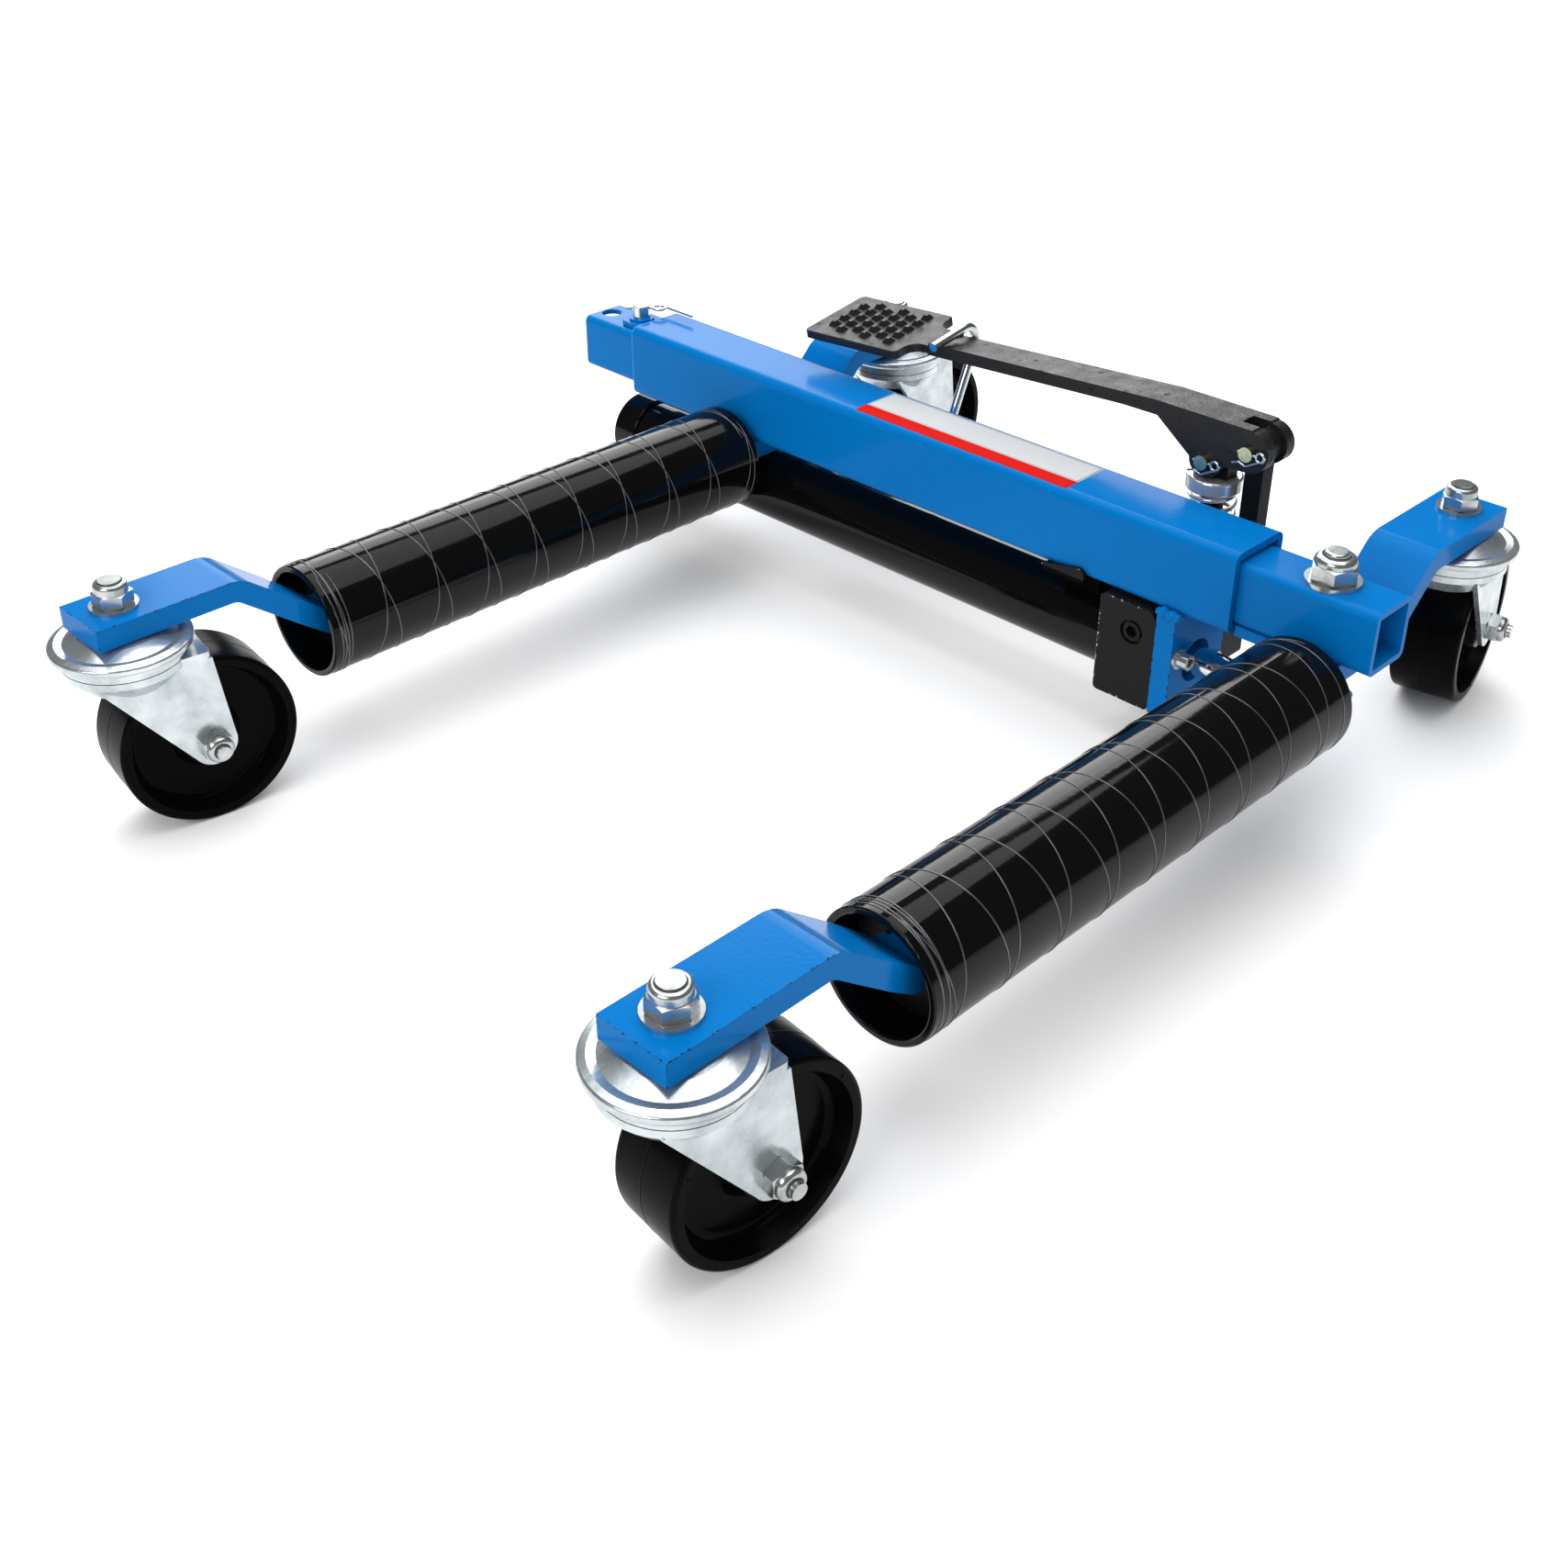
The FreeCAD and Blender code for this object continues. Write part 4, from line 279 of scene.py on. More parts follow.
def edge_chips_group():
    """Chips where two faces of the piece's box meet: a noisy reach less the second least distance."""
    tree, given, out = new_group(
        "edge_chips",
        [("Low", (0.0, 0.0, 0.0)), ("High", (1.0, 1.0, 1.0)), ("Reach", 0.0012)],
        ["Chips"],
    )
    place = object_place(tree)
    from_low = vector_work(tree, "SUBTRACT", place, given.outputs["Low"])
    from_high = vector_work(tree, "SUBTRACT", given.outputs["High"], place)
    near = vector_work(tree, "MINIMUM", from_low, from_high)
    x, y, z = place_node(tree, "ShaderNodeSeparateXYZ", {0: near}).outputs
    lesser, greater = work(tree, "MINIMUM", x, y), work(tree, "MAXIMUM", x, y)
    second_least = work(tree, "MAXIMUM", lesser, work(tree, "MINIMUM", greater, z))
    grain = noise(tree, place, scale=520.0, detail=3.0)
    ragged = ramp(tree, grain, start=0.5, end=0.66, low=0.0, high=1.0)
    chip_width = work(tree, "MULTIPLY", ragged, given.outputs["Reach"])
    bare = work(tree, "SUBTRACT", chip_width, second_least)
    feed(tree, ramp(tree, bare, start=0.0, end=0.0002, low=0.0, high=1.0), out, "Chips")
    return tree


edge_chips = edge_chips_group()


def chipped(tree, node, reach, colour, bare):
    """Colour with the bare one in the chips along a piece's edges; gives colour and chips."""
    low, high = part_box(node)
    edges = {"Low": low, "High": high, "Reach": reach}
    chips = place_node(tree, "ShaderNodeGroup", edges, node_tree=edge_chips).outputs["Chips"]
    return blend(tree, chips, colour, bare), chips


def paint_material(name, colours, roughness, peel, specks, worn=None, **plain):
    """Sprayed paint: the first colour drifts to the second with the clouds; specks have the third.

    Peel is given as scale and depth, specks as scale and share, and a worn piece as its node, the
    reach of its chips and their colour.
    """
    material, tree, shader = blank_material(name, **plain)
    spray = {"Peel Scale": peel[0], "Speck Scale": specks[0], "Speck Share": specks[1]}
    skin = place_node(tree, "ShaderNodeGroup", spray, node_tree=sprayed_paint)
    colour = blend(tree, skin.outputs["Cloud"], colours[0], colours[1])
    colour = blend(tree, skin.outputs["Specks"], colour, colours[2])
    if worn:
        node, reach, bare = worn
        colour, _ = chipped(tree, node, reach, colour, bare)
    feed(tree, colour, shader, "Base Color")
    drift = clouded(tree, skin.outputs["Cloud"], low=roughness * 0.75, high=roughness * 1.3)
    feed(tree, drift, shader, "Roughness")
    bump_normal(tree, shader, skin.outputs["Height"], strength=0.3, depth=peel[1])
    return material


def blue_coat(name, worn=None):
    """The jack's gloss blue, chipped where a worn piece is given."""
    return paint_material(
        name,
        blue_shades,
        roughness=0.14,
        peel=(380, 0.00018),
        specks=(60, 0.05),
        worn=worn,
        Specular_IOR_Level=0.05,
    )


def finish(material, *names):
    """Gives CAD nodes their finish."""
    for name in names:
        nodes[name].data.materials.clear()
        nodes[name].data.materials.append(material)


blue_paint = blue_coat("blue_gloss_paint")
finish(
    blue_paint,
    "outer_tube",
    "inner_tube",
    "stop_strip",
    "left_cross_bar",
    "right_cross_bar",
    "left_roller_shaft",
    "right_roller_shaft",
    "hook_catch",
    "lock_keeper",
)
for node in ("left_front_arm", "right_front_arm", "ram_bracket"):
    finish(blue_coat(node + "_paint", (node, blue_chip_reach, blue_chip_primer)), node)

# Outer tube's left mouth: the paint has gathered along the sawn edge in a thin bead that follows the
# tube's rounded square outline. Its paler blue is a painted highlight, standing in for the light the
# edge catches.
mouth_bead, mouth_rise, mouth_inset, tube_corner = 0.45, 0.1, 0.6, 5.5
# Paler blue than the beam: a painted highlight along the tube's mouth.
mouth_highlight_paint = paint_material(
    "mouth_highlight_paint",
    [(0.02, 0.36, 0.80), (0.01, 0.26, 0.66), (0.004, 0.02, 0.06)],
    roughness=0.2,
    peel=(500, 0.0001),
    specks=(90, 0.05),
    Specular_IOR_Level=0.5,
)


def mouth_ring():
    """Round bead swept along the tube's outline: straight sides joined by quarter circles."""
    low = np.array((0.0, beam_low.z * 1000)) + tube_corner
    high = np.array(((beam_high.y - beam_low.y) * 1000, beam_high.z * 1000)) - tube_corner
    outline, outward = [], []
    for y, z, first in (
        (high[0], low[1], -90),
        (high[0], high[1], 0),
        (low[0], high[1], 90),
        (low[0], low[1], 180),
    ):
        turn = np.radians(np.linspace(first, first + 90, 9))
        facing = np.stack([np.cos(turn), np.sin(turn)], axis=1)
        outward.append(facing)
        outline.append(np.array((y, z)) + facing * (tube_corner + mouth_rise - mouth_bead))
    outline = np.concatenate(outline + [outline[0][:1]])
    outward = np.concatenate(outward + [outward[0][:1]])
    turn = np.linspace(2 * math.pi, 0, 11)
    sheet = np.empty((len(outline), turn.size, 3))
    sheet[:, :, 0] = mouth_bead * (mouth_inset - np.sin(turn))
    sheet[:, :, 1:] = outline[:, None] + outward[:, None] * (np.cos(turn)[:, None] * mouth_bead)
    return on_jack(sheet)


mouth = sheets_mesh("tube_mouth_bead", [mouth_ring()])
mouth.data.materials.append(mouth_highlight_paint)
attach(mouth, "frame")

# Welds: beads laid by hand along the joints of the bars, bracket plate, catch and keeper.
# Each bead is a row of overlapping ripples, a little uneven, and the paint lies over it. A row
# below gives a bead's two ends, its radius and the pitch of its ripples.
weld_wander, weld_ripple, weld_steps = 0.15, 0.2, 4
frame_beads = (
    ((84, 0.8, 98.4), (122, 0.8, 98.4), 3.2, 4.2),  # left cross bar, front
    ((84, 46.2, 98.4), (122, 46.2, 98.4), 3.2, 4.2),  # left cross bar, back
    ((455.5, -1.2, 97.4), (473, -1.2, 97.2), 3.5, 5.5),  # bracket plate, front
    ((470.6, 3, 97.0), (470.6, 45, 97.0), 2.6, 4.0),  # bracket plate, right side
    ((457, 48.2, 97.8), (471, 48.2, 97.8), 2.8, 4.0),  # bracket plate, back
    ((224.5, 47.6, 120.6), (244.5, 47.6, 120.6), 1.7, 2.6),  # hook's catch
    ((-0.4, 13, 144.6), (-0.4, 34, 144.6), 1.6, 2.6),  # lock pin's keeper
)
arm_beads = (
    ((530, 6.0, 103.2), (566, 6.0, 103.2), 2.8, 4.0),  # right cross bar, front
    ((530, 41.0, 103.2), (566, 41.0, 103.2), 2.8, 4.0),  # right cross bar, back
)


def weld_bead(start, end, radius, pitch, seed):
    """Tube from start to end that swells once a pitch, wanders a little and closes at its ends."""
    start, end = on_jack(start), on_jack(end)
    run = end - start
    length = np.linalg.norm(run)
    run = run / length
    slant = (0.0, 0.6, 0.8) if abs(run[0]) < 0.5 else (0.0, 0.8, -0.6)
    lift = np.cross(run, slant)
    lift /= np.linalg.norm(lift)
    side = np.cross(run, lift)
    millimetres = length * 1000
    along = np.linspace(0, 1, max(16, int(millimetres * weld_steps)))
    chance = np.random.default_rng(seed)
    wander = np.interp(along, np.linspace(0, 1, 9), chance.uniform(-weld_wander, weld_wander, 9))
    ripples = np.abs(np.cos(np.pi * along * millimetres / pitch))
    swell = 1 - weld_ripple + weld_ripple * ripples + wander
    close = np.sqrt(np.clip(1 - np.abs(2 * along - 1) ** (millimetres / radius), 0, 1))
    size = radius / 1000 * swell * close
    turn = np.linspace(2 * np.pi, 0, 15)
    sway = wander * radius / 1000 * 2 / 3
    middle = start + run * (along * length)[:, None] + lift * sway[:, None]
    ring = np.cos(turn)[:, None] * lift + np.sin(turn)[:, None] * side
    return middle[:, None] + size[:, None, None] * ring[None]


first_seed = 1
for name, beads, body in (
    ("frame_welds", frame_beads, "frame"),
    ("arm_welds", arm_beads, "right_arm"),
):
    tubes = [weld_bead(*bead, seed) for seed, bead in enumerate(beads, first_seed)]
    welds = sheets_mesh(name, tubes)
    welds.data.materials.append(blue_paint)
    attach(welds, body)
    first_seed += len(beads)

# Press marks: the die that bent the front arms left two shallow lines across each bend.
# They are drawn as a pair of low threads coloured near black: painted shade, as in creases on the
# blue.
left_arm_x, right_arm_x = 103.0, 553.0
press_mark_places, press_mark_half = (-387.2, -385.2), 19.6
press_mark_reach, press_mark_rise, press_mark_sink = 0.45, 0.16, 0.03
plumb_start = 400
# Near black threads: painted shade in the creases of the bend.
press_mark_shade_paint = paint_material(
    "press_mark_shade_paint",
    [(0.001, 0.020, 0.075), (0.001, 0.010, 0.045), (0.10, 0.30, 0.55)],
    roughness=0.3,
    peel=(600, 0.0001),
    specks=(300, 0.12),
    Specular_IOR_Level=0.3,
)


def closed(sheet, ends=False):
    """Skin that closes a bowed sheet below: its last column joins the first.

    Open ends are closed by rows that shrink to the middle of the first and of the last row.
    """
    skin = np.concatenate([sheet, sheet[:, :1]], axis=1)
    if ends:
        middles = sheet[[0, -1]].mean(axis=1)
        first, last = np.repeat(middles[:, None, None], skin.shape[1], axis=2)
        skin = np.concatenate([first, skin, last])
    return skin


def press_marks(node, middle_x):
    """Two low half-round threads across the bend, where plumb lines meet the bar's own top."""
    across = np.linspace(-press_mark_half, press_mark_half, 41)
    bow = np.linspace(math.pi, 0, 6)
    reach = np.cos(bow) * press_mark_reach
    rise = np.sin(bow) * press_mark_rise - press_mark_sink
    threads = []
    for y in press_mark_places:
        plumb = on_jack((middle_x, y, plumb_start)).tolist()
        _, seat, facing, _ = nodes[node].ray_cast(plumb, (0, 0, -1))
        facing = np.array(facing)
        downhill = np.array((0.0, facing[2], -facing[1]))
        thread = np.array(seat) + (downhill * reach[:, None] + facing * rise[:, None]) / 1000
        thread = np.repeat(thread[None], across.size, axis=0)
        thread[:, :, 0] += across[:, None] / 1000
        threads.append(closed(thread, ends=True))
    return threads


for side, middle_x, body in (("left", left_arm_x, "frame"), ("right", right_arm_x, "right_arm")):
    threads = sheets_mesh(side + "_press_marks", press_marks(side + "_front_arm", middle_x))
    threads.data.materials.append(press_mark_shade_paint)
    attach(threads, body)

# Label: a blank sticker of silver film on the beam's top, with a plain red band along its front.
# The band bends over the tube's rounded front corner, and a thin grey line runs round the film.
label_left, label_right = 213.0, 382.0
label_front, label_band_back, label_back = 3.8, 15.0, 41.4
label_film, label_lip, label_end_drop, label_steps = 0.12, 0.1, 0.2, 60
label_border, label_line_inner, label_line_outer = 0.0014, (0.9, 0.95), (0.55, 0.6)
label_silver, label_pale = (0.46, 0.475, 0.495), (0.52, 0.535, 0.555)
label_grey, label_red, label_band_fade = (0.14, 0.14, 0.15), (0.52, 0.008, 0.005), 0.0002


def label_sheet():
    """Film of even thickness that follows the front corner's arc and then the tube's flat top.

    Its edges go down into the tube's skin over the width of a narrow lip.
    """
    arc = tube_corner * math.pi / 2
    first = tube_corner * math.acos(1 - label_front / tube_corner)
    last = arc + label_back - tube_corner
    film = np.linspace(first + label_lip, last - label_lip, label_steps)
    way = np.concatenate([[first, first + label_lip / 5], film, [last - label_lip / 5, last]])
    height = np.full(way.size, label_film)
    height[[0, 1, -2, -1]] = -label_lip, 0.0, 0.0, -label_lip
    turn = np.minimum(way / tube_corner, math.pi / 2)
    flat = np.maximum(way - arc, 0)
    out = tube_corner + height
    inner = np.linspace(label_left + label_lip, label_right - label_lip, label_steps)
    along = np.concatenate([[label_left], inner, [label_right]])
    sheet = np.empty((along.size, way.size, 3))
    sheet[:, :, 0] = along[:, None]
    sheet[:, :, 1] = tube_corner - out * np.cos(turn) + flat
    sheet[:, :, 2] = beam_high.z * 1000 - tube_corner + out * np.sin(turn)
    sheet[[0, -1], :, 2] -= label_end_drop
    return on_jack(sheet)


label = sheets_mesh("blank_label", [closed(label_sheet(), ends=True)])
label_material, label_tree, label_shader = blank_material(
    "label_film", IOR=1.12, Specular_IOR_Level=0.2
)
label_place = object_place(label_tree)
label_x, label_y, _ = place_node(label_tree, "ShaderNodeSeparateXYZ", {0: label_place}).outputs
label_low = on_jack((label_left, label_band_back, 0))
label_high = on_jack((label_right, label_back, 0))
inside = ramp(
    label_tree, label_x, label_low[0], label_low[0] + label_border, low=0, high=1
)
for axis, start, inwards in (
    (label_x, label_high[0], -label_border),
    (label_y, label_low[1], label_border),
    (label_y, label_high[1], -label_border),
):
    from_edge = ramp(label_tree, axis, start, start + inwards, low=0, high=1)
    inside = work(label_tree, "MINIMUM", inside, from_edge)
line = work(
    label_tree,
    "MULTIPLY",
    ramp(label_tree, inside, *label_line_outer, low=0, high=1),
    ramp(label_tree, inside, *label_line_inner, low=1, high=0),
)
band = ramp(
    label_tree, label_y, label_low[1], label_low[1] + label_band_fade, low=1, high=0
)
film_cloud = noise(label_tree, label_place, scale=30.0, detail=3.0)
film_colour = blend(label_tree, film_cloud, label_silver, label_pale)
film_colour = blend(label_tree, line, film_colour, label_grey)
film_colour = blend(label_tree, band, film_colour, label_red)
feed(label_tree, film_colour, label_shader, "Base Color")
film_roughness = clouded(label_tree, film_cloud, low=0.5, high=0.65)
feed(label_tree, film_roughness, label_shader, "Roughness")
label.data.materials.append(label_material)
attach(label, "frame")

# Rollers: steel tubes in thick gloss black, wound with film whose edges stand up as thin lines,
# coloured a light metallic grey as painted glints.
# Two windings of opposite hand cross along each tube, a few closer turns bind its front mouth, and
# one turn ends the winding at the back.
roller_radius, roller_height = 34.0, 85.0
roller_front, roller_back = -344.0, -7.0
winding_front, winding_back = roller_front + 3.5, roller_back - 4
winding_pitch, winding_width, winding_height, winding_sink = 36.5, 0.9, 0.4, 0.05
winding_steps, winding_taper = 96, 12
mouth_turns_start, mouth_turns_end, mouth_turns_pitch, mouth_turns_lead = 0.5, 8.5, 4.1, 40
back_turn_start, back_turn_end, back_turn_pitch = 5, 0.5, 4.2
black_paint = paint_material(
    "black_gloss_paint",
    [(0.0030, 0.0030, 0.0034), (0.0020, 0.0020, 0.0024), (0.16, 0.16, 0.17)],
    roughness=0.09,
    peel=(260, 0.00008),
    specks=(90, 0.03),
    Specular_IOR_Level=0.2,
)
finish(black_paint, "left_roller", "right_roller")
# The film's edges are light metallic grey: painted glints, so the thin lines read light on the black.
film_edge_glint = paint_material(
    "film_edge_glint",
    [(0.17, 0.17, 0.18), (0.045, 0.045, 0.05), (0.003, 0.003, 0.003)],
    roughness=0.18,
    peel=(500, 0.00005),
    specks=(120, 0.05),
    Metallic=0.6,
)


def winding(middle_x, start_y, end_y, start_turn, hand, pitch):
    """Low round ridge on a helix about the roller's axis: its turn grows with the way along it."""
    turns = abs(end_y - start_y) / pitch
    share = np.linspace(0, 1, int(turns * winding_steps) + 8)
    turn = math.radians(start_turn) + hand * 2 * math.pi * turns * share
    outward = np.stack([np.cos(turn), np.zeros_like(turn), np.sin(turn)], axis=1)
    forward = np.stack([-np.sin(turn), np.zeros_like(turn), np.cos(turn)], axis=1)
    forward = forward * hand * 2 * math.pi * roller_radius / pitch
    forward[:, 1] += math.copysign(1, end_y - start_y)
    forward /= np.linalg.norm(forward, axis=1)[:, None]
    across = np.cross(outward, forward)
    middle = outward * (roller_radius - winding_sink)
    middle += np.array((middle_x, 0, roller_height))
    middle[:, 1] = start_y + (end_y - start_y) * share
    from_end = np.minimum(share, 1 - share) * turns
    taper = np.sqrt(np.clip(from_end * winding_taper, 0, 1))[:, None, None]
    bow = np.linspace(math.pi, 0, 6)[:, None]
    ridge = across[:, None] * np.cos(bow) * winding_width / 2
    ridge = ridge + outward[:, None] * np.sin(bow) * winding_height
    return closed(on_jack(middle[:, None] + ridge * taper))


def roller_windings(middle_x, cross_turn, cross_y):
    """Both long windings through one crossing, their turns at the mouth and one turn behind."""
    lines = []
    for hand in (1, -1):
        first = cross_turn + hand * 360 * (winding_front - cross_y) / winding_pitch
        lines.append(winding(middle_x, winding_front, winding_back, first, hand, winding_pitch))
        lines.append(
            winding(
                middle_x,
                winding_front + mouth_turns_start,
                winding_front + mouth_turns_end,
                first + mouth_turns_lead,
                hand,
                mouth_turns_pitch,
            )
        )
    back_start, back_end = winding_back - back_turn_start, winding_back - back_turn_end
    lines.append(winding(middle_x, back_start, back_end, cross_turn, 1, back_turn_pitch))
    return lines


for side, middle_x, cross_turn, cross_y in (
    ("left", left_arm_x, 39.0, -195.4),
    ("right", right_arm_x, -31.0, -182.0),
):
    lines = sheets_mesh(
        side + "_roller_windings", roller_windings(middle_x, cross_turn, cross_y)
    )
    lines.data.materials.append(film_edge_glint)
    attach(lines, side + "_roller_body")


# Bushes in the rollers and the ram's gland: turned from nylon and pressed in, coloured near black.
# Only their end faces can be seen, deep in the rollers' mouths, where the near black is painted
# shade;
# the skin is dull and cloudy.
def plastic_material(name, scale, detail, colours, roughness, specular):
    """Plastic whose colour and roughness drift with soft clouds; gives it, its tree and shader."""
    material, tree, shader = blank_material(name, Specular_IOR_Level=specular)
    cloud = noise(tree, object_place(tree), scale, detail)
    feed(tree, blend(tree, cloud, *colours), shader, "Base Color")
    feed(tree, clouded(tree, cloud, *roughness), shader, "Roughness")
    return material, tree, shader


# Near black: in the rollers' mouths this is painted shade.
bush_and_shade_colours = [(0.004, 0.004, 0.004), (0.010, 0.010, 0.009)]
dark_bush_and_shade, _, _ = plastic_material(
    "bush_black_and_shade", 60.0, 4.0, bush_and_shade_colours, roughness=(0.4, 0.6), specular=0.3
)
finish(dark_bush_and_shade, "left_roller_bushes", "right_roller_bushes", "ram_gland")


# Casters: forks and races pressed from sheet steel, bolts and nuts, all bright zinc plated.
# The plate is cloudy, with faint marks of the press and the barrel that it was plated in.
def plated_skin_group():
    """Cloudy patches, fine scratches in two directions and a soft height, all from noise."""
    tree, given, out = new_group(
        "plated_skin", [("Cloud Scale", 45.0)], ["Cloud", "Scratches", "Height"]
    )
    place = object_place(tree)
    marks = []
    for stretch in ((30.0, 30.0, 700.0), (600.0, 40.0, 60.0)):
        drawn = {"Vector": place, "Scale": stretch, "Rotation": (0.3, 0.5, 0.2)}
        drawn_place = place_node(tree, "ShaderNodeMapping", drawn).outputs[0]
        marks.append(noise(tree, drawn_place, scale=1.0, detail=2.0))
    both = work(tree, "MULTIPLY", marks[0], marks[1])
    cloud = noise(tree, place, given.outputs["Cloud Scale"], detail=5.0, Roughness=0.6)
    scratches = ramp(tree, both, start=0.25, end=0.42, low=0.0, high=1.0)
    feed(tree, cloud, out, "Cloud")
    feed(tree, scratches, out, "Scratches")
    feed(tree, noise(tree, place, scale=160.0, detail=2.0), out, "Height")
    return tree


plated_skin = plated_skin_group()


def plated_material(name, bright, dull, roughness, cloud_scale, dent_depth, metal=1.0):
    """Plated metal: bright colour that clouds over to a dull one, rougher where dull or worn."""
    material, tree, shader = blank_material(name, Metallic=metal)
    skin = place_node(
        tree, "ShaderNodeGroup", {"Cloud Scale": cloud_scale}, node_tree=plated_skin
    )
    share = ramp(tree, skin.outputs["Cloud"], start=0.35, end=0.68, low=0.0, high=1.0)
    feed(tree, blend(tree, share, bright, dull), shader, "Base Color")
    scratch_weight = 0.4
    scratches = work(tree, "MULTIPLY", skin.outputs["Scratches"], scratch_weight)
    worn = work(tree, "ADD", share, scratches)
    feed(tree, ramp(tree, worn, 0.0, 1 + scratch_weight, *roughness), shader, "Roughness")
    bump_normal(tree, shader, skin.outputs["Height"], strength=0.35, depth=dent_depth)
    return material


casters = ("left_front", "left_rear", "right_front", "right_rear")
pressed_zinc = plated_material(
    "pressed_zinc",
    (0.76, 0.81, 0.83),
    (0.44, 0.49, 0.51),
    roughness=(0.16, 0.36),
    cloud_scale=38.0,
    dent_depth=0.00025,
    metal=0.85,
)
finish(pressed_zinc, "left_caster_races", "right_caster_races")
finish(pressed_zinc, *[corner + "_fork" for corner in casters])
bolt_zinc = plated_material(
    "bolt_zinc",
    (0.64, 0.66, 0.66),
    (0.38, 0.41, 0.40),
    roughness=(0.14, 0.34),
    cloud_scale=90.0,
    dent_depth=0.0001,
    metal=0.9,
)
finish(bolt_zinc, "left_kingpin_sets", "right_kingpin_sets", "arm_bolt", "arm_nut")
finish(bolt_zinc, *[corner + "_axle_set" for corner in casters])

# Lock nuts' inserts: each nut's collar holds a ring of dark nylon that grips the thread.
# Only its top shows, as a thin round bead between the collar and the stud. A size below gives the
# ring's inner and outer radius and its height.
king_insert, arm_insert, axle_insert = (6.0, 6.8, 0.35), (7.0, 8.1, 0.4), (4.0, 4.9, 0.3)
king_seat_z, arm_seat_z, axle_seat, insert_sink = 151.8, 156.9, 34.9, 0.05
right_rear_x, rear_king_y = 548, 164
insert_colours = [(0.03, 0.04, 0.045), (0.07, 0.08, 0.09)]
insert_nylon, _, _ = plastic_material(
    "nut_insert", 900.0, 2.0, insert_colours, roughness=(0.35, 0.5), specular=0.3
)
upward = np.array((0.0, 0.0, 1.0))
wheel_hubs = {
    joint["name"].removesuffix("_wheel_spin"): (np.array(joint["pos_m"]), np.array(joint["axis"]))
    for joint in frame["joints"]
    if joint["name"].endswith("_wheel_spin")
}


def insert_ring(middle, axis, inner, outer, height):
    """Half-round bead turned once about the stud's axis, from its skin to the collar's flat."""
    beside = (0.0, 1.0, 0.0) if abs(axis[2]) > 0.5 else (0.0, 0.0, 1.0)
    first = np.cross(axis, beside)
    first /= np.linalg.norm(first)
    second = np.cross(axis, first)
    turn = np.linspace(0, 2 * math.pi, 49)
    outward = np.cos(turn)[:, None] * first + np.sin(turn)[:, None] * second
    bow = np.linspace(math.pi, 0, 7)
    reach = (inner + outer) / 2 - np.cos(bow) * (outer - inner) / 2
    rise = np.sin(bow) * height - insert_sink
    return closed(middle + (outward[:, None] * reach[:, None] + axis * rise[:, None]) / 1000)


def upright_ring(x, y, z, insert):
    """Ring about a plumb stud at a place on the jack."""
    return insert_ring(on_jack((x, y, z)), upward, *insert)


rings_of = {
    "frame": [
        upright_ring(left_arm_x, -452, king_seat_z, king_insert),
        upright_ring(left_arm_x, rear_king_y, king_seat_z, king_insert),
    ],
    "right_arm": [
        upright_ring(right_arm_x, -461, king_seat_z, king_insert),
        upright_ring(right_rear_x, rear_king_y, king_seat_z, king_insert),
        upright_ring(right_rear_x, 23.5, arm_seat_z, arm_insert),
    ],
}
for corner, (hub, axle) in wheel_hubs.items():
    middle = np.mean(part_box(corner + "_axle_set"), axis=0)
    nut_side = axle * np.sign(np.dot(middle - hub, axle))
    axle_ring = insert_ring(hub + nut_side * axle_seat / 1000, nut_side, *axle_insert)
    rings_of[corner + "_swivel"] = [axle_ring]
for body, rings in rings_of.items():
    inserts = sheets_mesh(body + "_nut_inserts", rings)
    inserts.data.materials.append(insert_nylon)
    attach(inserts, body)

# Wheels: moulded in hard black plastic in a two-part mould, pressed on a steel tube at the hub.
# The mould leaves a thin line round the tread and a few small marks of its pins on the rims.
wheel_radius, wheel_half_width = 50.5, 20.0
ridge_half, ridge_rise, ridge_sink, ridge_shift = 0.45, 0.16, 0.03, 1.5
pin_turns, pin_inset, pin_radius, pin_rise, pin_sink = (35, 155, 275), 4.2, 1.1, 0.5, 0.05
wheel_colours = [(0.0015, 0.0015, 0.002), (0.003, 0.003, 0.0035)]
wheel_plastic, wheel_tree, wheel_shader = plastic_material(
    "moulded_wheel", 35.0, 4.0, wheel_colours, roughness=(0.15, 0.28), specular=0.035
)
wheel_grain = noise(wheel_tree, object_place(wheel_tree), scale=900.0, detail=2.0)
bump_normal(wheel_tree, wheel_shader, wheel_grain, strength=0.2, depth=0.00006)
finish(wheel_plastic, *[corner + "_wheel" for corner in casters])


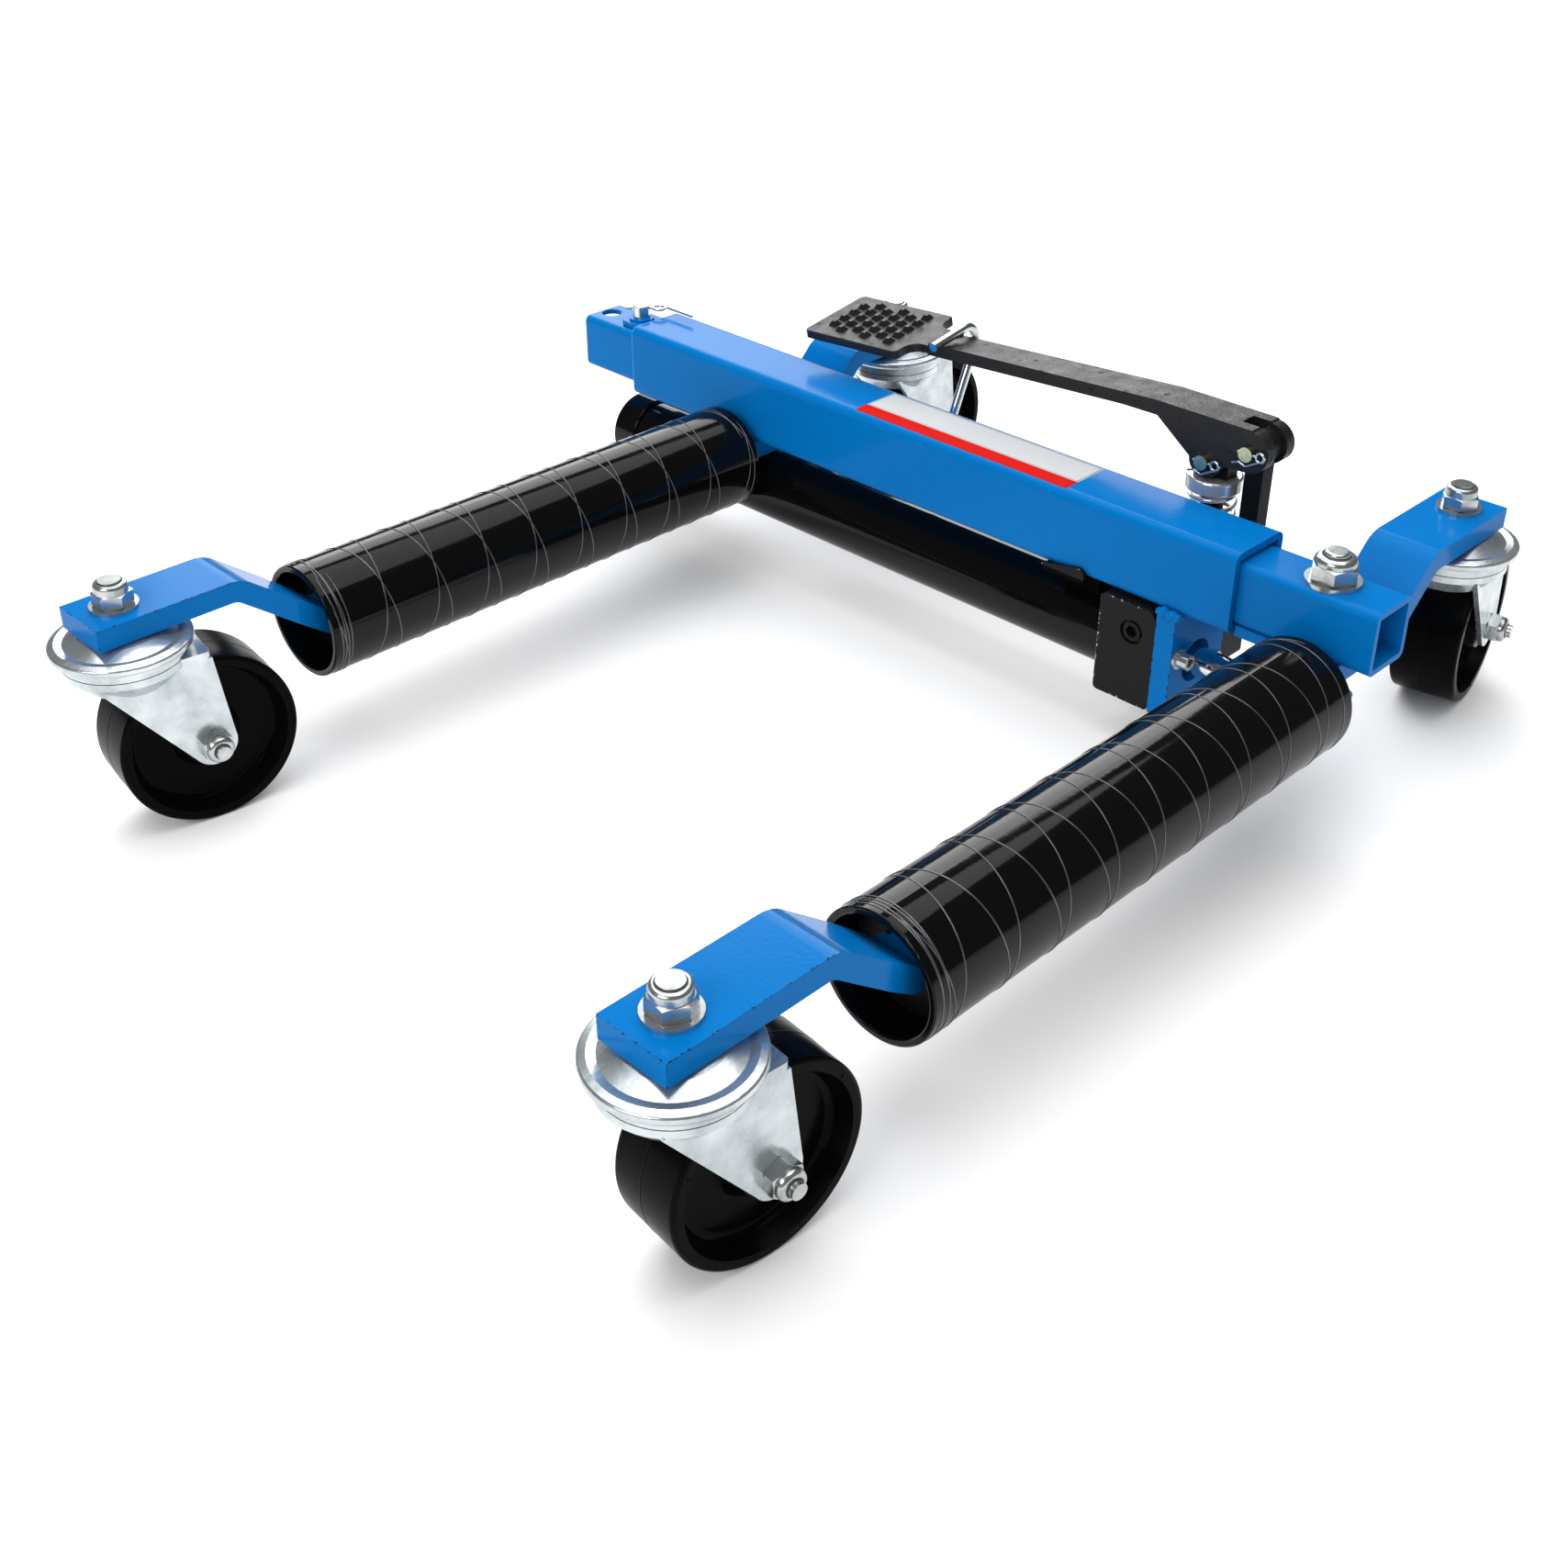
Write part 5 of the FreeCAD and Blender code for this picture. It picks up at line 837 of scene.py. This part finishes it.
def mould_marks(middle, axle):
    """Thin ridge on a circle round the tread, and low half-round domes on both rims, as grids."""
    level = np.cross((0.0, 0.0, 1.0), axle)
    upright = np.cross(axle, level)
    turn = np.linspace(0, 2 * math.pi, 145)
    outward = np.cos(turn)[:, None] * level + np.sin(turn)[:, None] * upright
    bow = np.linspace(0, math.pi, 6)
    rise = wheel_radius - ridge_sink + np.sin(bow) * ridge_rise
    shift = np.cos(bow) * ridge_half + ridge_shift
    ridge = middle + (outward[:, None] * rise[:, None] - axle * shift[:, None]) / 1000
    grids = [closed(ridge)]
    spread, height = np.meshgrid(
        np.linspace(0, 2 * math.pi, 13), np.linspace(0, math.pi / 2, 4), indexing="ij"
    )
    width = np.cos(height)
    dome = np.stack([width * np.cos(spread), width * np.sin(spread), np.sin(height)], axis=-1)
    dome = np.concatenate([np.zeros_like(dome[:, :1]), dome], axis=1)
    dome = dome * (pin_radius, pin_radius, pin_rise)
    for face in (axle, -axle):
        for pin_turn in np.radians(pin_turns):
            out = np.cos(pin_turn) * level + np.sin(pin_turn) * upright
            seat = out * (wheel_radius - pin_inset) + face * (wheel_half_width - pin_sink)
            shape = dome @ np.stack([out, np.cross(face, out), face])
            grids.append(middle + (seat + shape) / 1000)
    return grids


for corner, (hub, axle) in wheel_hubs.items():
    marks = sheets_mesh(corner + "_mould_marks", mould_marks(hub, axle))
    marks.data.materials.append(wheel_plastic)
    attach(marks, corner + "_wheel_body")

# Pull cylinder: honed steel tube with a screwed end cap, sprayed gloss black as the rollers are.
# Its ram is ground bar with hard chrome. The piston, the foot pump's cylinder and the release
# valve are turned from plain steel.
finish(black_paint, "cylinder_tube", "cylinder_end_cap")
ram_chrome = plated_material(
    "ram_chrome",
    (0.80, 0.81, 0.83),
    (0.72, 0.73, 0.76),
    roughness=(0.05, 0.16),
    cloud_scale=60.0,
    dent_depth=0.00002,
)
finish(ram_chrome, "ram_rod")
turned_steel = plated_material(
    "turned_steel",
    (0.58, 0.58, 0.57),
    (0.44, 0.44, 0.43),
    roughness=(0.2, 0.4),
    cloud_scale=70.0,
    dent_depth=0.00006,
)
finish(turned_steel, "piston", "pump_cylinder", "release_valve")

# Valve block and small black fittings: sawn and drilled steel in satin black, whose chipped edges
# show bare steel as small bright spots. Below the beam the saddle that carries the cylinder is
# painted near black and dull as painted shade, and two zinc plated screws hold the block to its
# bracket.
satin_coat, bare_steel = [(0.006, 0.006, 0.007), (0.010, 0.010, 0.011)], (0.45, 0.45, 0.44)
# Painted shade under the beam: its near black colour, the height over which it fades in, and its
# roughness.
painted_shade_colour, painted_shade_fade, painted_shade_roughness = (0.0004, 0.0004, 0.0004), 0.0006, 0.95


def satin_black_material(node, reach, painted_shade_top=None):
    """Satin black coat, with bare steel in the chips on its edges and painted shade below a height.
    """
    material, tree, shader = blank_material(node + "_black", Specular_IOR_Level=0.12)
    skin = place_node(tree, "ShaderNodeGroup", {"Peel Scale": 700}, node_tree=sprayed_paint)
    coat = blend(tree, skin.outputs["Cloud"], *satin_coat)
    colour, chips = chipped(tree, node, reach, coat, bare_steel)
    roughness = clouded(tree, skin.outputs["Cloud"], low=0.3, high=0.45)
    # Below the given height the colour is painted near black and the roughness raised: painted shade.
    if painted_shade_top:
        height = place_node(tree, "ShaderNodeSeparateXYZ", {0: object_place(tree)}).outputs[2]
        unshaded = ramp(tree, height, painted_shade_top - painted_shade_fade, painted_shade_top, low=0.0, high=1.0)
        colour = blend(tree, unshaded, painted_shade_colour, colour)
        dull = ramp(tree, unshaded, start=0.0, end=1.0, low=painted_shade_roughness, high=0.0)
        roughness = work(tree, "MAXIMUM", roughness, dull)
    feed(tree, colour, shader, "Base Color")
    feed(tree, chips, shader, "Metallic")
    feed(tree, roughness, shader, "Roughness")
    bump_normal(tree, shader, skin.outputs["Height"], strength=0.4, depth=0.00012)
    finish(material, node)


for node, reach in (
    ("valve_block", 0.0016),
    ("pedal_link", 0.0006),
    ("ram_spacer", 0.0006),
    ("block_plug", 0.0004),
    ("pump_plunger", 0.0004),
):
    satin_black_material(node, reach)
# The saddle gets painted shade below the beam's underside.
satin_black_material("cylinder_saddle", 0.0004, beam_low.z)
finish(bolt_zinc, "bracket_screws")

# Foot pump: the return spring and its cap are coiled and turned from steel and bright zinc plated.
# The plunger's black tongue stands on the cap, and its stem goes down into the pump cylinder.
pump_zinc = plated_material(
    "pump_zinc",
    (0.86, 0.88, 0.90),
    (0.70, 0.72, 0.74),
    roughness=(0.08, 0.24),
    cloud_scale=70.0,
    dent_depth=0.00005,
    metal=0.75,
)
finish(pump_zinc, "spring_cap", "return_spring")

# Pedal lever: one iron casting dipped in black, the pedal's studs cast with it. Its sandy skin has
# soft lumps, fine grain and sparse round pits. A bent rod of bright zinc hangs over its neck as the
# hook, and the spring clips on the pins are of the same wire.
cast_black, pit_black, grain_weight = (0.010, 0.010, 0.0115), (0.003, 0.003, 0.003), 0.5
cast_material, cast_tree, cast_shader = blank_material("black_casting", Specular_IOR_Level=0.32)
cast_place = object_place(cast_tree)
lumps = noise(cast_tree, cast_place, scale=85.0, detail=3.0)
grain = noise(cast_tree, cast_place, scale=520.0, detail=3.0)
pits = sparse_dots(cast_tree, cast_place, scale=130.0, share=0.28, core=0.05, rim=0.28)
sand = work(cast_tree, "ADD", lumps, work(cast_tree, "MULTIPLY", grain, grain_weight))
cast_height = work(cast_tree, "SUBTRACT", sand, pits)
cast_roughness = ramp(cast_tree, cast_height, start=0.4, end=1.1, low=0.55, high=0.28)
feed(cast_tree, blend(cast_tree, pits, cast_black, pit_black), cast_shader, "Base Color")
feed(cast_tree, cast_roughness, cast_shader, "Roughness")
bump_normal(cast_tree, cast_shader, cast_height, strength=0.6, depth=0.0008)
finish(cast_material, "pedal_lever")
wire_zinc = plated_material(
    "wire_zinc",
    (0.78, 0.80, 0.81),
    (0.58, 0.61, 0.62),
    roughness=(0.12, 0.3),
    cloud_scale=80.0,
    dent_depth=0.00008,
)
finish(wire_zinc, "pedal_hook", "lock_clip", "link_pin_clip", "lever_pin_clips")

# Pins: turned from bar and yellow zinc plated, with a greenish bloom; spring clips hold them.
# The lock pin at the beam's left end has a paler plate.
pin_zinc = plated_material(
    "yellow_zinc",
    (0.62, 0.60, 0.38),
    (0.36, 0.44, 0.30),
    roughness=(0.2, 0.4),
    cloud_scale=120.0,
    dent_depth=0.00006,
)
finish(pin_zinc, "lever_pins", "link_pin")
lock_zinc = plated_material(
    "lock_pin_zinc",
    (0.78, 0.79, 0.76),
    (0.58, 0.59, 0.55),
    roughness=(0.16, 0.34),
    cloud_scale=110.0,
    dent_depth=0.00006,
)
finish(lock_zinc, "lock_pin")
